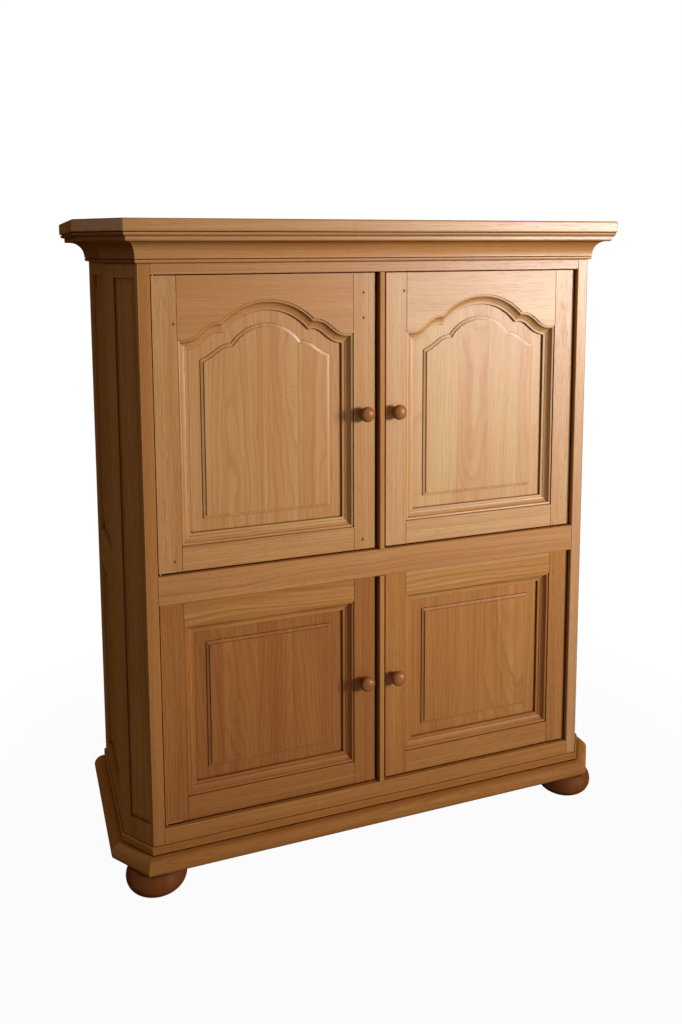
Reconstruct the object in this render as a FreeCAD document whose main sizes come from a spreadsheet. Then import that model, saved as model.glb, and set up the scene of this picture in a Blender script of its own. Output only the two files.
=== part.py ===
import FreeCAD, Part

import math
import os

import Sketcher
from FreeCAD import Placement, Rotation, Vector

# Linen press in oak: a carcass with canted front corners on bun feet, two tall doors with
# arched fielded panels over two square ones, and a coved cornice under a thick top board.
#
# Frame: millimetres, +Z up, the front faces -Y. The origin is on the floor, under the middle
# of the bounding box. Left and right are as seen by someone who faces the doors.

# ---------------------------------------------------------------------------------------
# Driving dimensions, in millimetres
# ---------------------------------------------------------------------------------------

SIZES = {
    # carcass
    "front_width": 1150,       # face frame, from one canted corner to the other
    "carcass_depth": 480,      # face of the front frame to the back
    "cant_width": 58,          # how much of the front a canted corner takes
    "cant_depth": 80,          # how much of the side it takes
    "frame_thickness": 22,     # face frame, cants and side frames
    "edge_ease": 1.4,          # broken edge round the openings
    "bottom_rail": 38,
    "lower_opening": 541,
    "mid_rail": 67,
    "upper_opening": 681,
    "top_rail": 92,
    "stile_width": 27,
    "board_thickness": 22,     # bottom and divider
    "back_thickness": 12,
    "back_board_count": 8,
    # centre posts
    "post_nosing": 12.5,
    "post_stop": 46,
    "post_stop_depth": 20,
    "stop_gap": 1,
    # side frames
    "side_front_stile": 75,
    "side_back_stile": 85,
    "side_bottom_rail": 59,
    "side_mid_rail": 85,
    "side_top_reveal": 32,     # top rail that shows under the cornice
    "side_panel_sink": 10,
    "side_panel_board": 6,
    "side_panel_tongue": 8,
    "side_panel_margin": 22,
    "side_panel_bevel": 16,
    "side_panel_rise": 6,
    "groove_clearance": 1,
    # canted corners
    "cant_front_margin": 8,    # front edge of the cant to its panel
    "cant_side_margin": 24,
    "cant_bottom_margin": 53,
    "cant_sink": 6,
    "cant_panel_board": 2,
    "cant_panel_border": 3,
    "cant_panel_bevel": 9,
    "cant_panel_rise": 3.5,
    # feet
    "foot_height": 61,
    "foot_diameter": 144,
    "foot_waist": 32,          # height of the widest place
    "foot_top_draw": 18,       # how far the foot draws in to its top
    "foot_inset_side": 68,     # foot's middle to the side
    "foot_inset_front": 36,
    "foot_inset_back": 76,
    "foot_block": 108,         # each side of the block over a foot
    # plinth
    "plinth_height": 38.5,
    "plinth_projection": 32,
    "plinth_belly": 14,        # height of the widest place
    "plinth_tuck": 9,          # how far the plinth draws in to its foot
    "plinth_ledge": 3,
    "plinth_quirk": 2,
    "plinth_quirk_depth": 4,
    "strip_height": 17.5,
    "strip_projection": 5,
    "strip_round": 4,
    # cornice and top
    "cornice_height": 67,
    "cornice_overhang": 72,
    "cornice_bead": 9.5,
    "cornice_bead_set": 7,
    "cornice_cove": 36,
    "cornice_cove_set": 11,
    "cornice_step": 11.5,
    "cornice_step_round": 4,
    "cornice_ovolo": 7,
    "cornice_quirk": 1.6,
    "cornice_quirk_depth": 4,
    "top_thickness": 28,
    "top_round": 4,
    # doors
    "door_thickness": 32,
    "door_overlap": 10,        # how much of the door's edge lies within the face frame
    "hinge_gap": 3,
    "meeting_gap": 8,
    "door_top_gap": 2,
    "door_bottom_gap": 2.5,
    "door_stile": 55,          # flat width outside the moulding
    "door_rail": 58,
    "door_crown": 58,          # wood over the top of the arch
    "door_ease": 0.8,
    "moulding_width": 25,
    "moulding_depth": 22,
    "arch_rise": 85.5,
    "arch_flat": 15,
    "shoulder_run": 84,
    "shoulder_rise": 38,
    "shoulder_swell": 0.55,    # radii of the ogee, as shares of the most that fits
    "shoulder_hollow": 0.4,
    "shoulder_cusp": 1,        # top of the swell to the foot of the great arch
    "panel_board": 7,
    "panel_tongue": 9,
    "field_inset": 55,         # moulding's outer line to the field
    "field_arch_rise": 84,
    "field_arch_flat": -31,    # the hollow would end outside the field
    "field_shoulder_run": 104,
    "field_shoulder_rise": 40.5,
    "field_shoulder_swell": 0.36,
    "field_shoulder_hollow": 0.6,
    "field_shoulder_cusp": 1,
    "field_step": 2.2,         # square edge at the foot and at the head of the bevel
    "field_bevel": 7.5,
    "field_rise": 6,
    # knobs
    "knob_diameter": 37,
    "knob_widest": 20.5,
    "knob_crown_round": 11,
    "knob_base": 19,
    "knob_base_height": 2.5,
    "knob_neck": 18,
    "knob_neck_height": 11,
    "knob_neck_round": 5.5,
    "knob_dowel": 10,
    "knob_dowel_length": 16,
    # pivot hinges
    "axis_inset": 4,           # pin to the door's edge and to its face
    "pin_diameter": 4,
    "pin_clearance": 0.1,
    "pin_end_clearance": 0.4,
    "collar_diameter": 6,
    "collar_clearance": 0.2,
    "plate_length": 40,
    "plate_width": 12,
    "plate_thickness": 4,
    "leaf_edge": 1,
    # catches
    "catch_length": 40,
    "catch_height": 14,
    "catch_depth": 12,
    "catch_gap": 0.6,
    "catch_offset": 34,
    "strike_thickness": 1,
    # shelves
    "shelf_thickness": 20,
    "shelf_side_gap": 2,
    "shelf_front_gap": 12,
    "shelf_back_gap": 2,
    "lower_shelf": 262,        # top of the bottom board to the shelf's underside
    "upper_shelf_one": 215,
    "upper_shelf_two": 440,
    "shelf_pin_diameter": 6,
    "shelf_pin_length": 20,
    "shelf_pin_depth": 9,
    "shelf_pin_front": 42,
    "shelf_pin_back": 46,
}

doc = FreeCAD.newDocument("LinenPress")
sheet = doc.addObject("Spreadsheet::Sheet", "Sizes")
for row, (name, number) in enumerate(SIZES.items(), start=1):
    sheet.set(f"A{row}", name)
    sheet.set(f"B{row}", str(number))
    sheet.setAlias(f"B{row}", name)
doc.recompute()

# ---------------------------------------------------------------------------------------
# Places that follow from the driving dimensions, as expressions on the sheet
# ---------------------------------------------------------------------------------------

THICK = "Sizes.frame_thickness"
HALF = "(Sizes.front_width / 2)"
SIDE = f"({HALF} + Sizes.cant_width)"
CANT_FACE = "(sqrt(Sizes.cant_width ^ 2 + Sizes.cant_depth ^ 2))"
CANT_COS = f"(Sizes.cant_width / {CANT_FACE})"
CANT_SIN = f"(Sizes.cant_depth / {CANT_FACE})"
# shift of the mitre at each end of a cant for each millimetre of offset
FRONT_MITRE = f"((1 - {CANT_COS}) / {CANT_SIN})"
SIDE_MITRE = f"((1 - {CANT_SIN}) / {CANT_COS})"
FRONT = "((Sizes.cornice_overhang - Sizes.carcass_depth) / 2)"
BACK = f"({FRONT} + Sizes.carcass_depth)"
REVEAL = f"({HALF} - Sizes.stile_width)"

Z_STRIP = "(Sizes.foot_height + Sizes.plinth_height)"
Z_FRAME = f"({Z_STRIP} + Sizes.strip_height)"
Z_LOWER = f"({Z_FRAME} + Sizes.bottom_rail)"
Z_LOWER_TOP = f"({Z_LOWER} + Sizes.lower_opening)"
Z_UPPER = f"({Z_LOWER_TOP} + Sizes.mid_rail)"
Z_UPPER_TOP = f"({Z_UPPER} + Sizes.upper_opening)"
Z_TOP = f"({Z_UPPER_TOP} + Sizes.top_rail)"
Z_CORNICE = f"({Z_TOP} - Sizes.cornice_height)"

DOOR_FACE = f"({FRONT} + {THICK} - Sizes.door_overlap)"
DOOR_BACK = f"({DOOR_FACE} + Sizes.door_thickness)"
DOOR_LEFT = f"(-{REVEAL} + Sizes.hinge_gap)"
DOOR_WIDTH = f"({REVEAL} - Sizes.hinge_gap - Sizes.post_nosing / 2 - Sizes.meeting_gap)"
STOP_FACE = f"({DOOR_BACK} + Sizes.stop_gap)"
INNER_BACK = f"({BACK} - Sizes.back_thickness)"
INNER_SIDE = f"({SIDE} - {THICK})"

LEFT, RIGHT = "left", "right"
LEAST_FLAT = 4  # shortest straight beside an arched corner


def value(expression):
    """The number that an expression on the sheet has now."""
    return float(sheet.evalExpression(expression))


def front_corner(offset):
    """Left end of the front, where it meets the cant, moved out by an offset."""
    return (f"-({HALF} + {FRONT_MITRE} * ({offset}))", f"{FRONT} - ({offset})")


def side_corner(offset):
    """Place where the left cant meets the side, moved out by an offset."""
    return (
        f"-({SIDE} + ({offset}))", f"{FRONT} + Sizes.cant_depth - {SIDE_MITRE} * ({offset})",
    )


def back_corner(offset, behind="0"):
    """Back end of the left side, moved out by an offset."""
    return (f"-({SIDE} + ({offset}))", f"{BACK} + ({behind})")


# ---------------------------------------------------------------------------------------
# Ways of making solids
# ---------------------------------------------------------------------------------------

nodes = {}


def keep(thing):
    """Hand an object in as a sub-part, under its label."""
    nodes[thing.Label] = thing
    return thing


def put(thing, x="0", y="0", z="0", rotation=None):
    """Bind an object's place to the sheet."""
    if rotation is not None:
        thing.Placement = Placement(Vector(), rotation)
    for axis, expression in (("x", x), ("y", y), ("z", z)):
        if expression != "0":
            thing.setExpression(f"Placement.Base.{axis}", expression)
    return thing


def draw(sketch, points, closed=True):
    """Draw an outline whose every point is bound to the sheet.

    A point is (x, y), or (x, y, radius, turn) where the edge that ends there is an arc:
    turn is 1 for an arc with its centre to the left of the way it runs, and -1 to the right.
    """
    places = [Vector(value(point[0]), value(point[1]), 0) for point in points]
    ends = []
    edge_total = len(points) if closed else len(points) - 1
    for index in range(edge_total):
        start = places[index]
        end = places[(index + 1) % len(points)]
        target = points[(index + 1) % len(points)]
        if len(target) == 2:
            number = sketch.addGeometry(Part.LineSegment(start, end))
            ends.append((number, 1, 2))
            continue
        radius = value(target[2])
        turn = target[3]
        along = (end - start) * 0.5
        reach = math.sqrt(max(radius ** 2 - along.Length ** 2, 0))
        left = Vector(-along.y, along.x, 0).normalize()
        centre = (start + end) * 0.5 + left * (turn * reach)
        angles = [math.atan2(place.y - centre.y, place.x - centre.x) for place in (start, end)]
        if turn < 0:
            angles.reverse()
        circle = Part.Circle(centre, Vector(0, 0, 1), radius)
        number = sketch.addGeometry(Part.ArcOfCircle(circle, angles[0], angles[1]))
        ends.append((number, 1, 2) if turn > 0 else (number, 2, 1))
        held = sketch.addConstraint(Sketcher.Constraint("Radius", number, radius))
        sketch.setExpression(f"Constraints[{held}]", target[2])
    joints = len(ends) if closed else len(ends) - 1
    for index in range(joints):
        number, _, last = ends[index]
        following, first, _ = ends[(index + 1) % len(ends)]
        sketch.addConstraint(Sketcher.Constraint("Coincident", number, last, following, first))
    for index, point in enumerate(points):
        number, position, _ = ends[min(index, len(ends) - 1)]
        if index == len(ends):
            position = ends[-1][2]
        for kind, expression in (("DistanceX", point[0]), ("DistanceY", point[1])):
            constraint = Sketcher.Constraint(kind, -1, 1, number, position, value(expression))
            held = sketch.addConstraint(constraint)
            sketch.setExpression(f"Constraints[{held}]", expression)


def new_body(label, plane, points):
    """A body with a closed sketch on one of its own origin planes."""
    body = doc.addObject("PartDesign::Body", label)
    body.Label = label
    sketch = body.newObject("Sketcher::SketchObject", f"{label}_sketch")
    origin = [item for item in body.Origin.OriginFeatures if item.Role == plane]
    sketch.AttachmentSupport = [(origin[0], "")]
    sketch.MapMode = "FlatFace"
    draw(sketch, points)
    return body, sketch


def prism(label, plane, points, length, ease=None, rounding=None):
    """A padded outline: up from XY_Plane, along +X from YZ_Plane or +Y from XZ_Plane."""
    body, sketch = new_body(label, plane, points)
    pad = body.newObject("PartDesign::Pad", f"{label}_pad")
    pad.Profile = sketch
    pad.Reversed = plane == "XZ_Plane"
    pad.setExpression("Length", length)
    body.Tip = pad
    doc.recompute()
    for kind, amount, name in (("Chamfer", ease, "Size"), ("Fillet", rounding, "Radius")):
        if amount is None:
            continue
        dressed = body.newObject(f"PartDesign::{kind}", f"{label}_{kind.lower()}")
        dressed.Base = (pad, ["Edge1"])
        dressed.UseAllEdges = True
        dressed.setExpression(name, amount)
        body.Tip = dressed
    return body


def turned(label, points):
    """A revolved half outline, whose axis is the body's own Z."""
    body, sketch = new_body(label, "XZ_Plane", points)
    revolution = body.newObject("PartDesign::Revolution", f"{label}_turning")
    revolution.Profile = sketch
    revolution.ReferenceAxis = (sketch, ["V_Axis"])
    revolution.Angle = 360
    body.Tip = revolution
    return body


def box(label, x, y, z, length, width, height):
    """A Part box bound to the sheet, from its lowest corner."""
    thing = doc.addObject("Part::Box", label)
    thing.Label = label
    for name, expression in (("Length", length), ("Width", width), ("Height", height)):
        thing.setExpression(name, expression)
    return put(thing, x, y, z)


def cylinder(label, radius, height, x, y, z, rotation=None):
    """A Part cylinder bound to the sheet."""
    thing = doc.addObject("Part::Cylinder", label)
    thing.Label = label
    thing.setExpression("Radius", radius)
    thing.setExpression("Height", height)
    return put(thing, x, y, z, rotation)


def group(label, links):
    """Separate solids that share one node."""
    thing = doc.addObject("Part::Compound", label)
    thing.Label = label
    thing.Links = links
    return thing


def fuse(label, shapes):
    thing = doc.addObject("Part::MultiFuse", label)
    thing.Label = label
    thing.Shapes = shapes
    return thing


def cut(label, base, tools):
    """Base less a list of tools that don't touch each other."""
    thing = doc.addObject("Part::Cut", label)
    thing.Label = label
    thing.Base = base
    thing.Tool = tools[0] if len(tools) == 1 else group(f"{label}_tools", tools)
    return thing


def mirrored(label, source):
    """The right-hand copy of a left-hand piece."""
    thing = doc.addObject("Part::Mirroring", label)
    thing.Label = label
    thing.Source = source
    thing.Base = Vector(0, 0, 0)
    thing.Normal = Vector(1, 0, 0)
    return thing


def keep_pair(stem, source):
    """Hand in a left-hand piece and its mirror image."""
    keep(source)
    keep(mirrored(f"{stem}_{RIGHT}", source))


# ---------------------------------------------------------------------------------------
# Face frame and centre posts
# ---------------------------------------------------------------------------------------

FRAME_LENGTH = f"{Z_TOP} - {Z_FRAME}"


def make_face_stile():
    points = [
        front_corner("0"),
        (f"-{REVEAL} - Sizes.edge_ease", FRONT),
        (f"-{REVEAL}", f"{FRONT} + Sizes.edge_ease"),
        (f"-{REVEAL}", f"{FRONT} + {THICK}"),
        front_corner(f"-{THICK}"),
    ]
    stile = prism("face_stile_left", "XY_Plane", points, FRAME_LENGTH)
    put(stile, z=Z_FRAME)
    keep_pair("face_stile", stile)


def make_rail(label, low, high, ease_low, ease_high, seats):
    """A rail between the face stiles, with broken edges where it borders an opening."""
    back = f"{FRONT} + {THICK}"
    points = [(back, low)]
    if ease_low:
        points += [(f"{FRONT} + Sizes.edge_ease", low), (FRONT, f"{low} + Sizes.edge_ease")]
    else:
        points += [(FRONT, low)]
    if ease_high:
        points += [(FRONT, f"{high} - Sizes.edge_ease"), (f"{FRONT} + Sizes.edge_ease", high)]
    else:
        points += [(FRONT, high)]
    points += [(back, high)]
    blank = prism(f"{label}_blank", "YZ_Plane", points, f"2 * {REVEAL}")
    put(blank, x=f"-{REVEAL}")
    keep(cut(label, blank, seats))


def make_posts():
    """Each opening's post: a nosing flush with the frame, glued to a stop for the doors."""
    nose = "Sizes.post_nosing / 2"
    nosing_points = [
        (f"-{nose} + Sizes.edge_ease", FRONT),
        (f"{nose} - Sizes.edge_ease", FRONT),
        (nose, f"{FRONT} + Sizes.edge_ease"),
        (nose, STOP_FACE),
        (f"-{nose}", STOP_FACE),
        (f"-{nose}", f"{FRONT} + Sizes.edge_ease"),
    ]
    pieces = []
    for name, low, high in (
        ("lower", Z_LOWER, Z_LOWER_TOP),
        ("upper", Z_UPPER, Z_UPPER_TOP),
    ):
        nosing = prism(f"post_nosing_{name}", "XY_Plane", nosing_points, f"{high} - {low}")
        put(nosing, z=low)
        stop = box(
            f"post_stop_{name}", "-Sizes.post_stop / 2", STOP_FACE, low,
            "Sizes.post_stop", "Sizes.post_stop_depth", f"{high} - {low}",
        )
        pieces += [nosing, stop]
    keep(group("centre_posts", pieces))


# ---------------------------------------------------------------------------------------
# Hinge hardware: pivots at the top and bottom outer corner of each door
# ---------------------------------------------------------------------------------------

AXIS_X = f"({DOOR_LEFT} + Sizes.axis_inset)"
AXIS_Y = f"({DOOR_FACE} + Sizes.axis_inset)"
PLATE_X = f"(-{REVEAL} + 2)"
PLATE_Y = f"({AXIS_Y} - Sizes.plate_width / 2)"


def make_fixed_plates():
    """Plates let into the rails, bored for the pins. Returns the rails' seats."""
    bore = "Sizes.pin_diameter / 2 + Sizes.pin_clearance"
    levels = {
        "bottom": f"{Z_LOWER} - Sizes.plate_thickness",
        "mid_under": Z_LOWER_TOP,
        "mid_over": f"{Z_UPPER} - Sizes.plate_thickness",
        "top": Z_UPPER_TOP,
    }
    seats = {}
    plates = []
    for name, level in levels.items():
        seat = box(
            f"seat_{name}", PLATE_X, PLATE_Y, level,
            "Sizes.plate_length", "Sizes.plate_width", "Sizes.plate_thickness",
        )
        hole = cylinder(
            f"plate_bore_{name}", bore, "Sizes.plate_thickness + 2",
            AXIS_X, AXIS_Y, f"{level} - 1",
        )
        plates.append(cut(f"plate_{name}", seat, [hole]))
        seats[name] = [seat, mirrored(f"seat_{name}_right", seat)]
    left = group("hinge_plates_left_side", plates)
    right = mirrored("hinge_plates_right_side", left)
    keep(group("hinge_plates", [left, right]))
    return seats


def make_fittings(stem, low, high):
    """The door's own pivots, at its bottom and top, and the strike plate of its catch."""
    leaf_x = f"{DOOR_LEFT} + Sizes.leaf_edge"
    leaf_y = f"{DOOR_FACE} + Sizes.leaf_edge"
    leaf = ("Sizes.plate_length", "Sizes.plate_width", "Sizes.plate_thickness")
    reach = "Sizes.plate_thickness - Sizes.pin_end_clearance"
    radius = "Sizes.pin_diameter / 2"
    bottom_leaf = box(f"{stem}_bottom_leaf", leaf_x, leaf_y, low, *leaf)
    bottom_pin = cylinder(
        f"{stem}_bottom_pin", radius, f"Sizes.door_bottom_gap + {reach} + 1",
        AXIS_X, AXIS_Y, f"{low} - Sizes.door_bottom_gap - ({reach})",
    )
    collar = cylinder(
        f"{stem}_collar", "Sizes.collar_diameter / 2",
        "Sizes.door_bottom_gap - Sizes.collar_clearance",
        AXIS_X, AXIS_Y, f"{low} - Sizes.door_bottom_gap + Sizes.collar_clearance",
    )
    top_leaf = box(
        f"{stem}_top_leaf", leaf_x, leaf_y, f"{high} - Sizes.plate_thickness", *leaf
    )
    top_pin = cylinder(
        f"{stem}_top_pin", radius, f"Sizes.door_top_gap + {reach} + 1",
        AXIS_X, AXIS_Y, f"{high} - 1",
    )
    strike = box(
        f"{stem}_strike",
        "-(Sizes.catch_offset + Sizes.catch_length)", DOOR_BACK, f"{low} + 1",
        "Sizes.catch_length", "Sizes.strike_thickness", "Sizes.catch_height - 4",
    )
    pivots = [
        fuse(f"{stem}_bottom_pivot", [bottom_leaf, bottom_pin, collar]),
        fuse(f"{stem}_top_pivot", [top_leaf, top_pin]),
    ]
    fittings = group(f"{stem}_fittings", pivots + [strike])
    return fittings, [bottom_leaf, top_leaf]


def make_catches():
    """Magnet blocks on the bottom board and the divider, behind the free edges."""
    depth = f"{DOOR_BACK} + Sizes.strike_thickness + Sizes.catch_gap"
    blocks = []
    for name, level in (("lower", Z_LOWER), ("upper", Z_UPPER)):
        block = box(
            f"catch_{name}",
            "-(Sizes.catch_offset + Sizes.catch_length)", depth, level,
            "Sizes.catch_length", "Sizes.catch_depth", "Sizes.catch_height",
        )
        blocks += [block, mirrored(f"catch_{name}_right", block)]
    keep(group("door_catches", blocks))


# ---------------------------------------------------------------------------------------
# Arched and square outlines of the door openings, panels and fields
# ---------------------------------------------------------------------------------------


class Outline:
    """A door opening in the door's own X and Z, seen from the front.

    The arched one has a segmental arch between two shoulders. Each shoulder falls in an
    ogee to a short flat: a swell and a hollow, joined by a straight line that touches both.
    """

    def __init__(self, middle, half, bottom, side_top, arch=None):
        self.middle = middle
        self.half = half
        self.bottom = bottom
        self.side_top = side_top
        self.arch = arch
        if arch is not None:
            self.set_out()

    def set_out(self):
        """Centres and radii of the arcs, and the direction across the ogee's straight."""
        arch = self.arch
        run = arch["run"]
        rise = arch["shoulder_rise"]
        limit = (run ** 2 + rise ** 2) / (2 * rise)
        self.swell_radius = arch["swell"] * limit
        self.hollow_radius = arch["hollow"] * limit
        self.flat_x = self.half - arch["flat"]
        self.hollow = (self.flat_x, self.side_top + self.hollow_radius)
        self.swell = (self.flat_x - run, self.side_top + rise - self.swell_radius)
        both = self.swell_radius + self.hollow_radius
        lean = math.acos(both / math.dist(self.hollow, self.swell))
        lean += math.atan2(self.hollow[1] - self.swell[1], run)
        self.across = (math.cos(lean), math.sin(lean))
        cusp_x = self.swell[0] + arch["cusp"]
        cusp_z = self.swell[1] + math.sqrt(self.swell_radius ** 2 - arch["cusp"] ** 2)
        top = self.side_top + arch["rise"]
        sag = top - cusp_z
        self.great_radius = (cusp_x ** 2 + sag ** 2) / (2 * sag)
        self.great = (0, top - self.great_radius)

    def wire(self, inset, depth):
        """The outline drawn in by an inset, at a depth behind the door's face."""
        half = self.half - inset
        bottom = self.bottom + inset
        if self.arch is None:
            top = self.side_top - inset
            corners = [(-half, bottom), (half, bottom), (half, top), (-half, top)]
            places = [self.place(x, z, depth) for x, z in corners]
            return Part.makePolygon(places + places[:1])
        right = self.shoulder(inset)
        left = [flip(spot) for spot in right]
        crown = (0, self.great[1] + self.great_radius - inset)
        edges = [
            self.line((-half, bottom), (half, bottom), depth),
            self.line((half, bottom), right[0], depth),
            self.line(right[0], right[1], depth),
            self.curve(right[1], right[2], right[3], depth),
            self.line(right[3], right[4], depth),
            self.curve(right[4], right[5], right[6], depth),
            self.curve(right[6], crown, left[6], depth),
            self.curve(left[6], left[5], left[4], depth),
            self.line(left[4], left[3], depth),
            self.curve(left[3], left[2], left[1], depth),
            self.line(left[1], left[0], depth),
            self.line(left[0], (-half, bottom), depth),
        ]
        return Part.Wire(edges)

    def shoulder(self, inset):
        """Points up the right shoulder: corner, end of the flat, the hollow's middle and
        end, the swell's start and middle, and the cusp."""
        hollow_radius = self.hollow_radius + inset
        swell_radius = self.swell_radius - inset
        corner = self.foot(self.half - inset, inset)
        flat = self.foot(min(self.flat_x, corner[0] - LEAST_FLAT), inset)
        hollow_end = along(self.hollow, self.across, -hollow_radius)
        swell_start = along(self.swell, self.across, swell_radius)
        cusp = meet(self.great, self.great_radius - inset, self.swell, swell_radius)
        mid_hollow = between(self.hollow, hollow_radius, flat, hollow_end)
        mid_swell = between(self.swell, swell_radius, swell_start, cusp)
        return [corner, flat, mid_hollow, hollow_end, swell_start, mid_swell, cusp]

    def foot(self, x, inset):
        """The point of the flat or the hollow at an x near the corner."""
        reach = min(x - self.flat_x, 0)
        drop = math.sqrt((self.hollow_radius + inset) ** 2 - reach ** 2)
        return (x, self.hollow[1] - drop)

    def place(self, x, z, depth):
        return Vector(self.middle + x, depth, z)

    def line(self, start, end, depth):
        return Part.LineSegment(self.place(*start, depth), self.place(*end, depth)).toShape()

    def curve(self, start, through, end, depth):
        spots = [self.place(*spot, depth) for spot in (start, through, end)]
        return Part.Arc(*spots).toShape()


def flip(spot):
    return (-spot[0], spot[1])


def along(start, direction, distance):
    """The point at a distance from a start."""
    return (start[0] + direction[0] * distance, start[1] + direction[1] * distance)


def between(centre, radius, first, last):
    """The point of a circle half way between two of its points."""
    x = (first[0] + last[0]) / 2 - centre[0]
    z = (first[1] + last[1]) / 2 - centre[1]
    scale = radius / math.hypot(x, z)
    return (centre[0] + x * scale, centre[1] + z * scale)


def meet(first, first_radius, second, second_radius):
    """The upper crossing of two circles."""
    across = (second[0] - first[0], second[1] - first[1])
    gap = math.hypot(*across)
    along = (gap ** 2 + first_radius ** 2 - second_radius ** 2) / (2 * gap)
    rise = math.sqrt(first_radius ** 2 - along ** 2)
    unit = (across[0] / gap, across[1] / gap)
    spots = [
        (
            first[0] + unit[0] * along - side * unit[1] * rise,
            first[1] + unit[1] * along + side * unit[0] * rise,
        )
        for side in (1, -1)
    ]
    return max(spots, key=lambda spot: spot[1])


def lofted(outline, sections):
    """A solid through an outline at several (inset, depth) pairs."""
    wires = [outline.wire(inset, depth) for inset, depth in sections]
    return Part.makeLoft(wires, True, True)


def shape_feature(label, shape, spot):
    """A Part::Feature with a shape worked out here, put in its place."""
    thing = doc.addObject("Part::Feature", label)
    thing.Label = label
    thing.Shape = shape
    thing.Placement = Placement(spot, Rotation())
    return thing


# ---------------------------------------------------------------------------------------
# Doors
# ---------------------------------------------------------------------------------------

# The moulding's section, as shares of its width and depth: a quirk, a fillet, a cove
# between two small steps, a second fillet and a quirk beside the panel.
MOULDING = [
    (0, 0.13),
    (0.12, 0.12),
    (0.24, 0.15),
    (0.25, 0.21),
    (0.30, 0.33),
    (0.38, 0.44),
    (0.49, 0.55),
    (0.61, 0.63),
    (0.72, 0.67),
    (0.73, 0.72),
    (0.98, 0.74),
    (1, 1),
]


class Door:
    """One left-hand door. Its own frame starts at the outer bottom corner of its face."""

    def __init__(self, stem, low, opening, arched):
        self.stem = stem
        self.low = f"({low} + Sizes.door_bottom_gap)"
        self.height = f"({opening} - Sizes.door_bottom_gap - Sizes.door_top_gap)"
        self.high = f"({self.low} + {self.height})"
        self.arched = arched
        crown = "(Sizes.door_crown + Sizes.arch_rise)" if arched else "Sizes.door_rail"
        self.side_top = f"({self.height} - {crown})"
        self.spot = Vector(value(DOOR_LEFT), value(DOOR_FACE), value(self.low))

    def member(self, name, points):
        """One stile or rail as a blank, before the opening is worked."""
        blank = prism(
            f"{self.stem}_{name}_blank", "XZ_Plane", points,
            "Sizes.door_thickness", ease="Sizes.door_ease",
        )
        return put(blank, DOOR_LEFT, DOOR_FACE, self.low)

    def members(self):
        """The four blanks, mitred through the width of the moulding."""
        stile = "Sizes.door_stile"
        inner = "(Sizes.door_stile + Sizes.moulding_width)"
        rail = "Sizes.door_rail"
        rail_inner = "(Sizes.door_rail + Sizes.moulding_width)"
        top_inner = f"({self.side_top} - Sizes.moulding_width)"

        def stile_points(across):
            return [
                (across("0"), "0"),
                (across(stile), "0"),
                (across(stile), rail),
                (across(inner), rail_inner),
                (across(inner), top_inner),
                (across(stile), self.side_top),
                (across(stile), self.height),
                (across("0"), self.height),
            ]

        far = f"({DOOR_WIDTH} - {stile})"
        far_inner = f"({DOOR_WIDTH} - {inner})"
        return {
            "hinge_stile": self.member("hinge_stile", stile_points(lambda x: x)),
            "lock_stile": self.member(
                "lock_stile", stile_points(lambda x: f"({DOOR_WIDTH} - {x})")
            ),
            "bottom_rail": self.member("bottom_rail", [
                (stile, "0"), (far, "0"), (far, rail),
                (far_inner, rail_inner), (inner, rail_inner), (stile, rail),
            ]),
            "top_rail": self.member("top_rail", [
                (stile, self.side_top), (inner, top_inner), (far_inner, top_inner),
                (far, self.side_top), (far, self.height), (stile, self.height),
            ]),
        }

    def outline(self):
        """The moulding's outer line."""
        width = value(DOOR_WIDTH)
        arch = None
        if self.arched:
            arch = {
                "rise": value("Sizes.arch_rise"),
                "flat": value("Sizes.arch_flat"),
                "run": value("Sizes.shoulder_run"),
                "shoulder_rise": value("Sizes.shoulder_rise"),
                "swell": value("Sizes.shoulder_swell"),
                "hollow": value("Sizes.shoulder_hollow"),
                "cusp": value("Sizes.shoulder_cusp"),
            }
        half = width / 2 - value("Sizes.door_stile")
        return Outline(width / 2, half, value("Sizes.door_rail"), value(self.side_top), arch)

    def field_outline(self):
        """The edge of the raised field, a smaller outline with its own arch."""
        outer = self.outline()
        inset = value("Sizes.field_inset")
        arch = None
        if self.arched:
            arch = {
                "rise": value("Sizes.field_arch_rise"),
                "flat": value("Sizes.field_arch_flat"),
                "run": value("Sizes.field_shoulder_run"),
                "shoulder_rise": value("Sizes.field_shoulder_rise"),
                "swell": value("Sizes.field_shoulder_swell"),
                "hollow": value("Sizes.field_shoulder_hollow"),
                "cusp": value("Sizes.field_shoulder_cusp"),
            }
        return Outline(
            outer.middle, outer.half - inset, outer.bottom + inset,
            outer.side_top - inset, arch,
        )

    def opening_tool(self):
        """What the moulding plane, the groove and the opening take from the frame."""
        width = value("Sizes.moulding_width")
        depth = value("Sizes.moulding_depth")
        board = value("Sizes.panel_board")
        thickness = value("Sizes.door_thickness")
        clearance = value("Sizes.groove_clearance")
        outline = self.outline()
        sections = [(0, -1)]
        sections += [(share * width, deep * depth) for share, deep in MOULDING]
        sections += [(width, thickness + 1)]
        groove_inset = width - value("Sizes.panel_tongue") - clearance
        groove = lofted(outline, [(groove_inset, depth), (groove_inset, depth + board)])
        shape = lofted(outline, sections).fuse(groove)
        return shape_feature(f"{self.stem}_opening", shape, self.spot)

    def panel(self):
        """The board in the groove, with its raised field."""
        depth = value("Sizes.moulding_depth")
        board = value("Sizes.panel_board")
        inset = value("Sizes.moulding_width") - value("Sizes.panel_tongue")
        step = value("Sizes.field_step")
        bevel = value("Sizes.field_bevel")
        rise = value("Sizes.field_rise")
        board_shape = lofted(self.outline(), [(inset, depth), (inset, depth + board)])
        sections = [
            (0, depth + 1), (0, depth - step),
            (bevel, depth - rise + step), (bevel, depth - rise),
        ]
        field_shape = lofted(self.field_outline(), sections)
        return shape_feature(f"{self.stem}_panel", board_shape.fuse(field_shape), self.spot)

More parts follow.
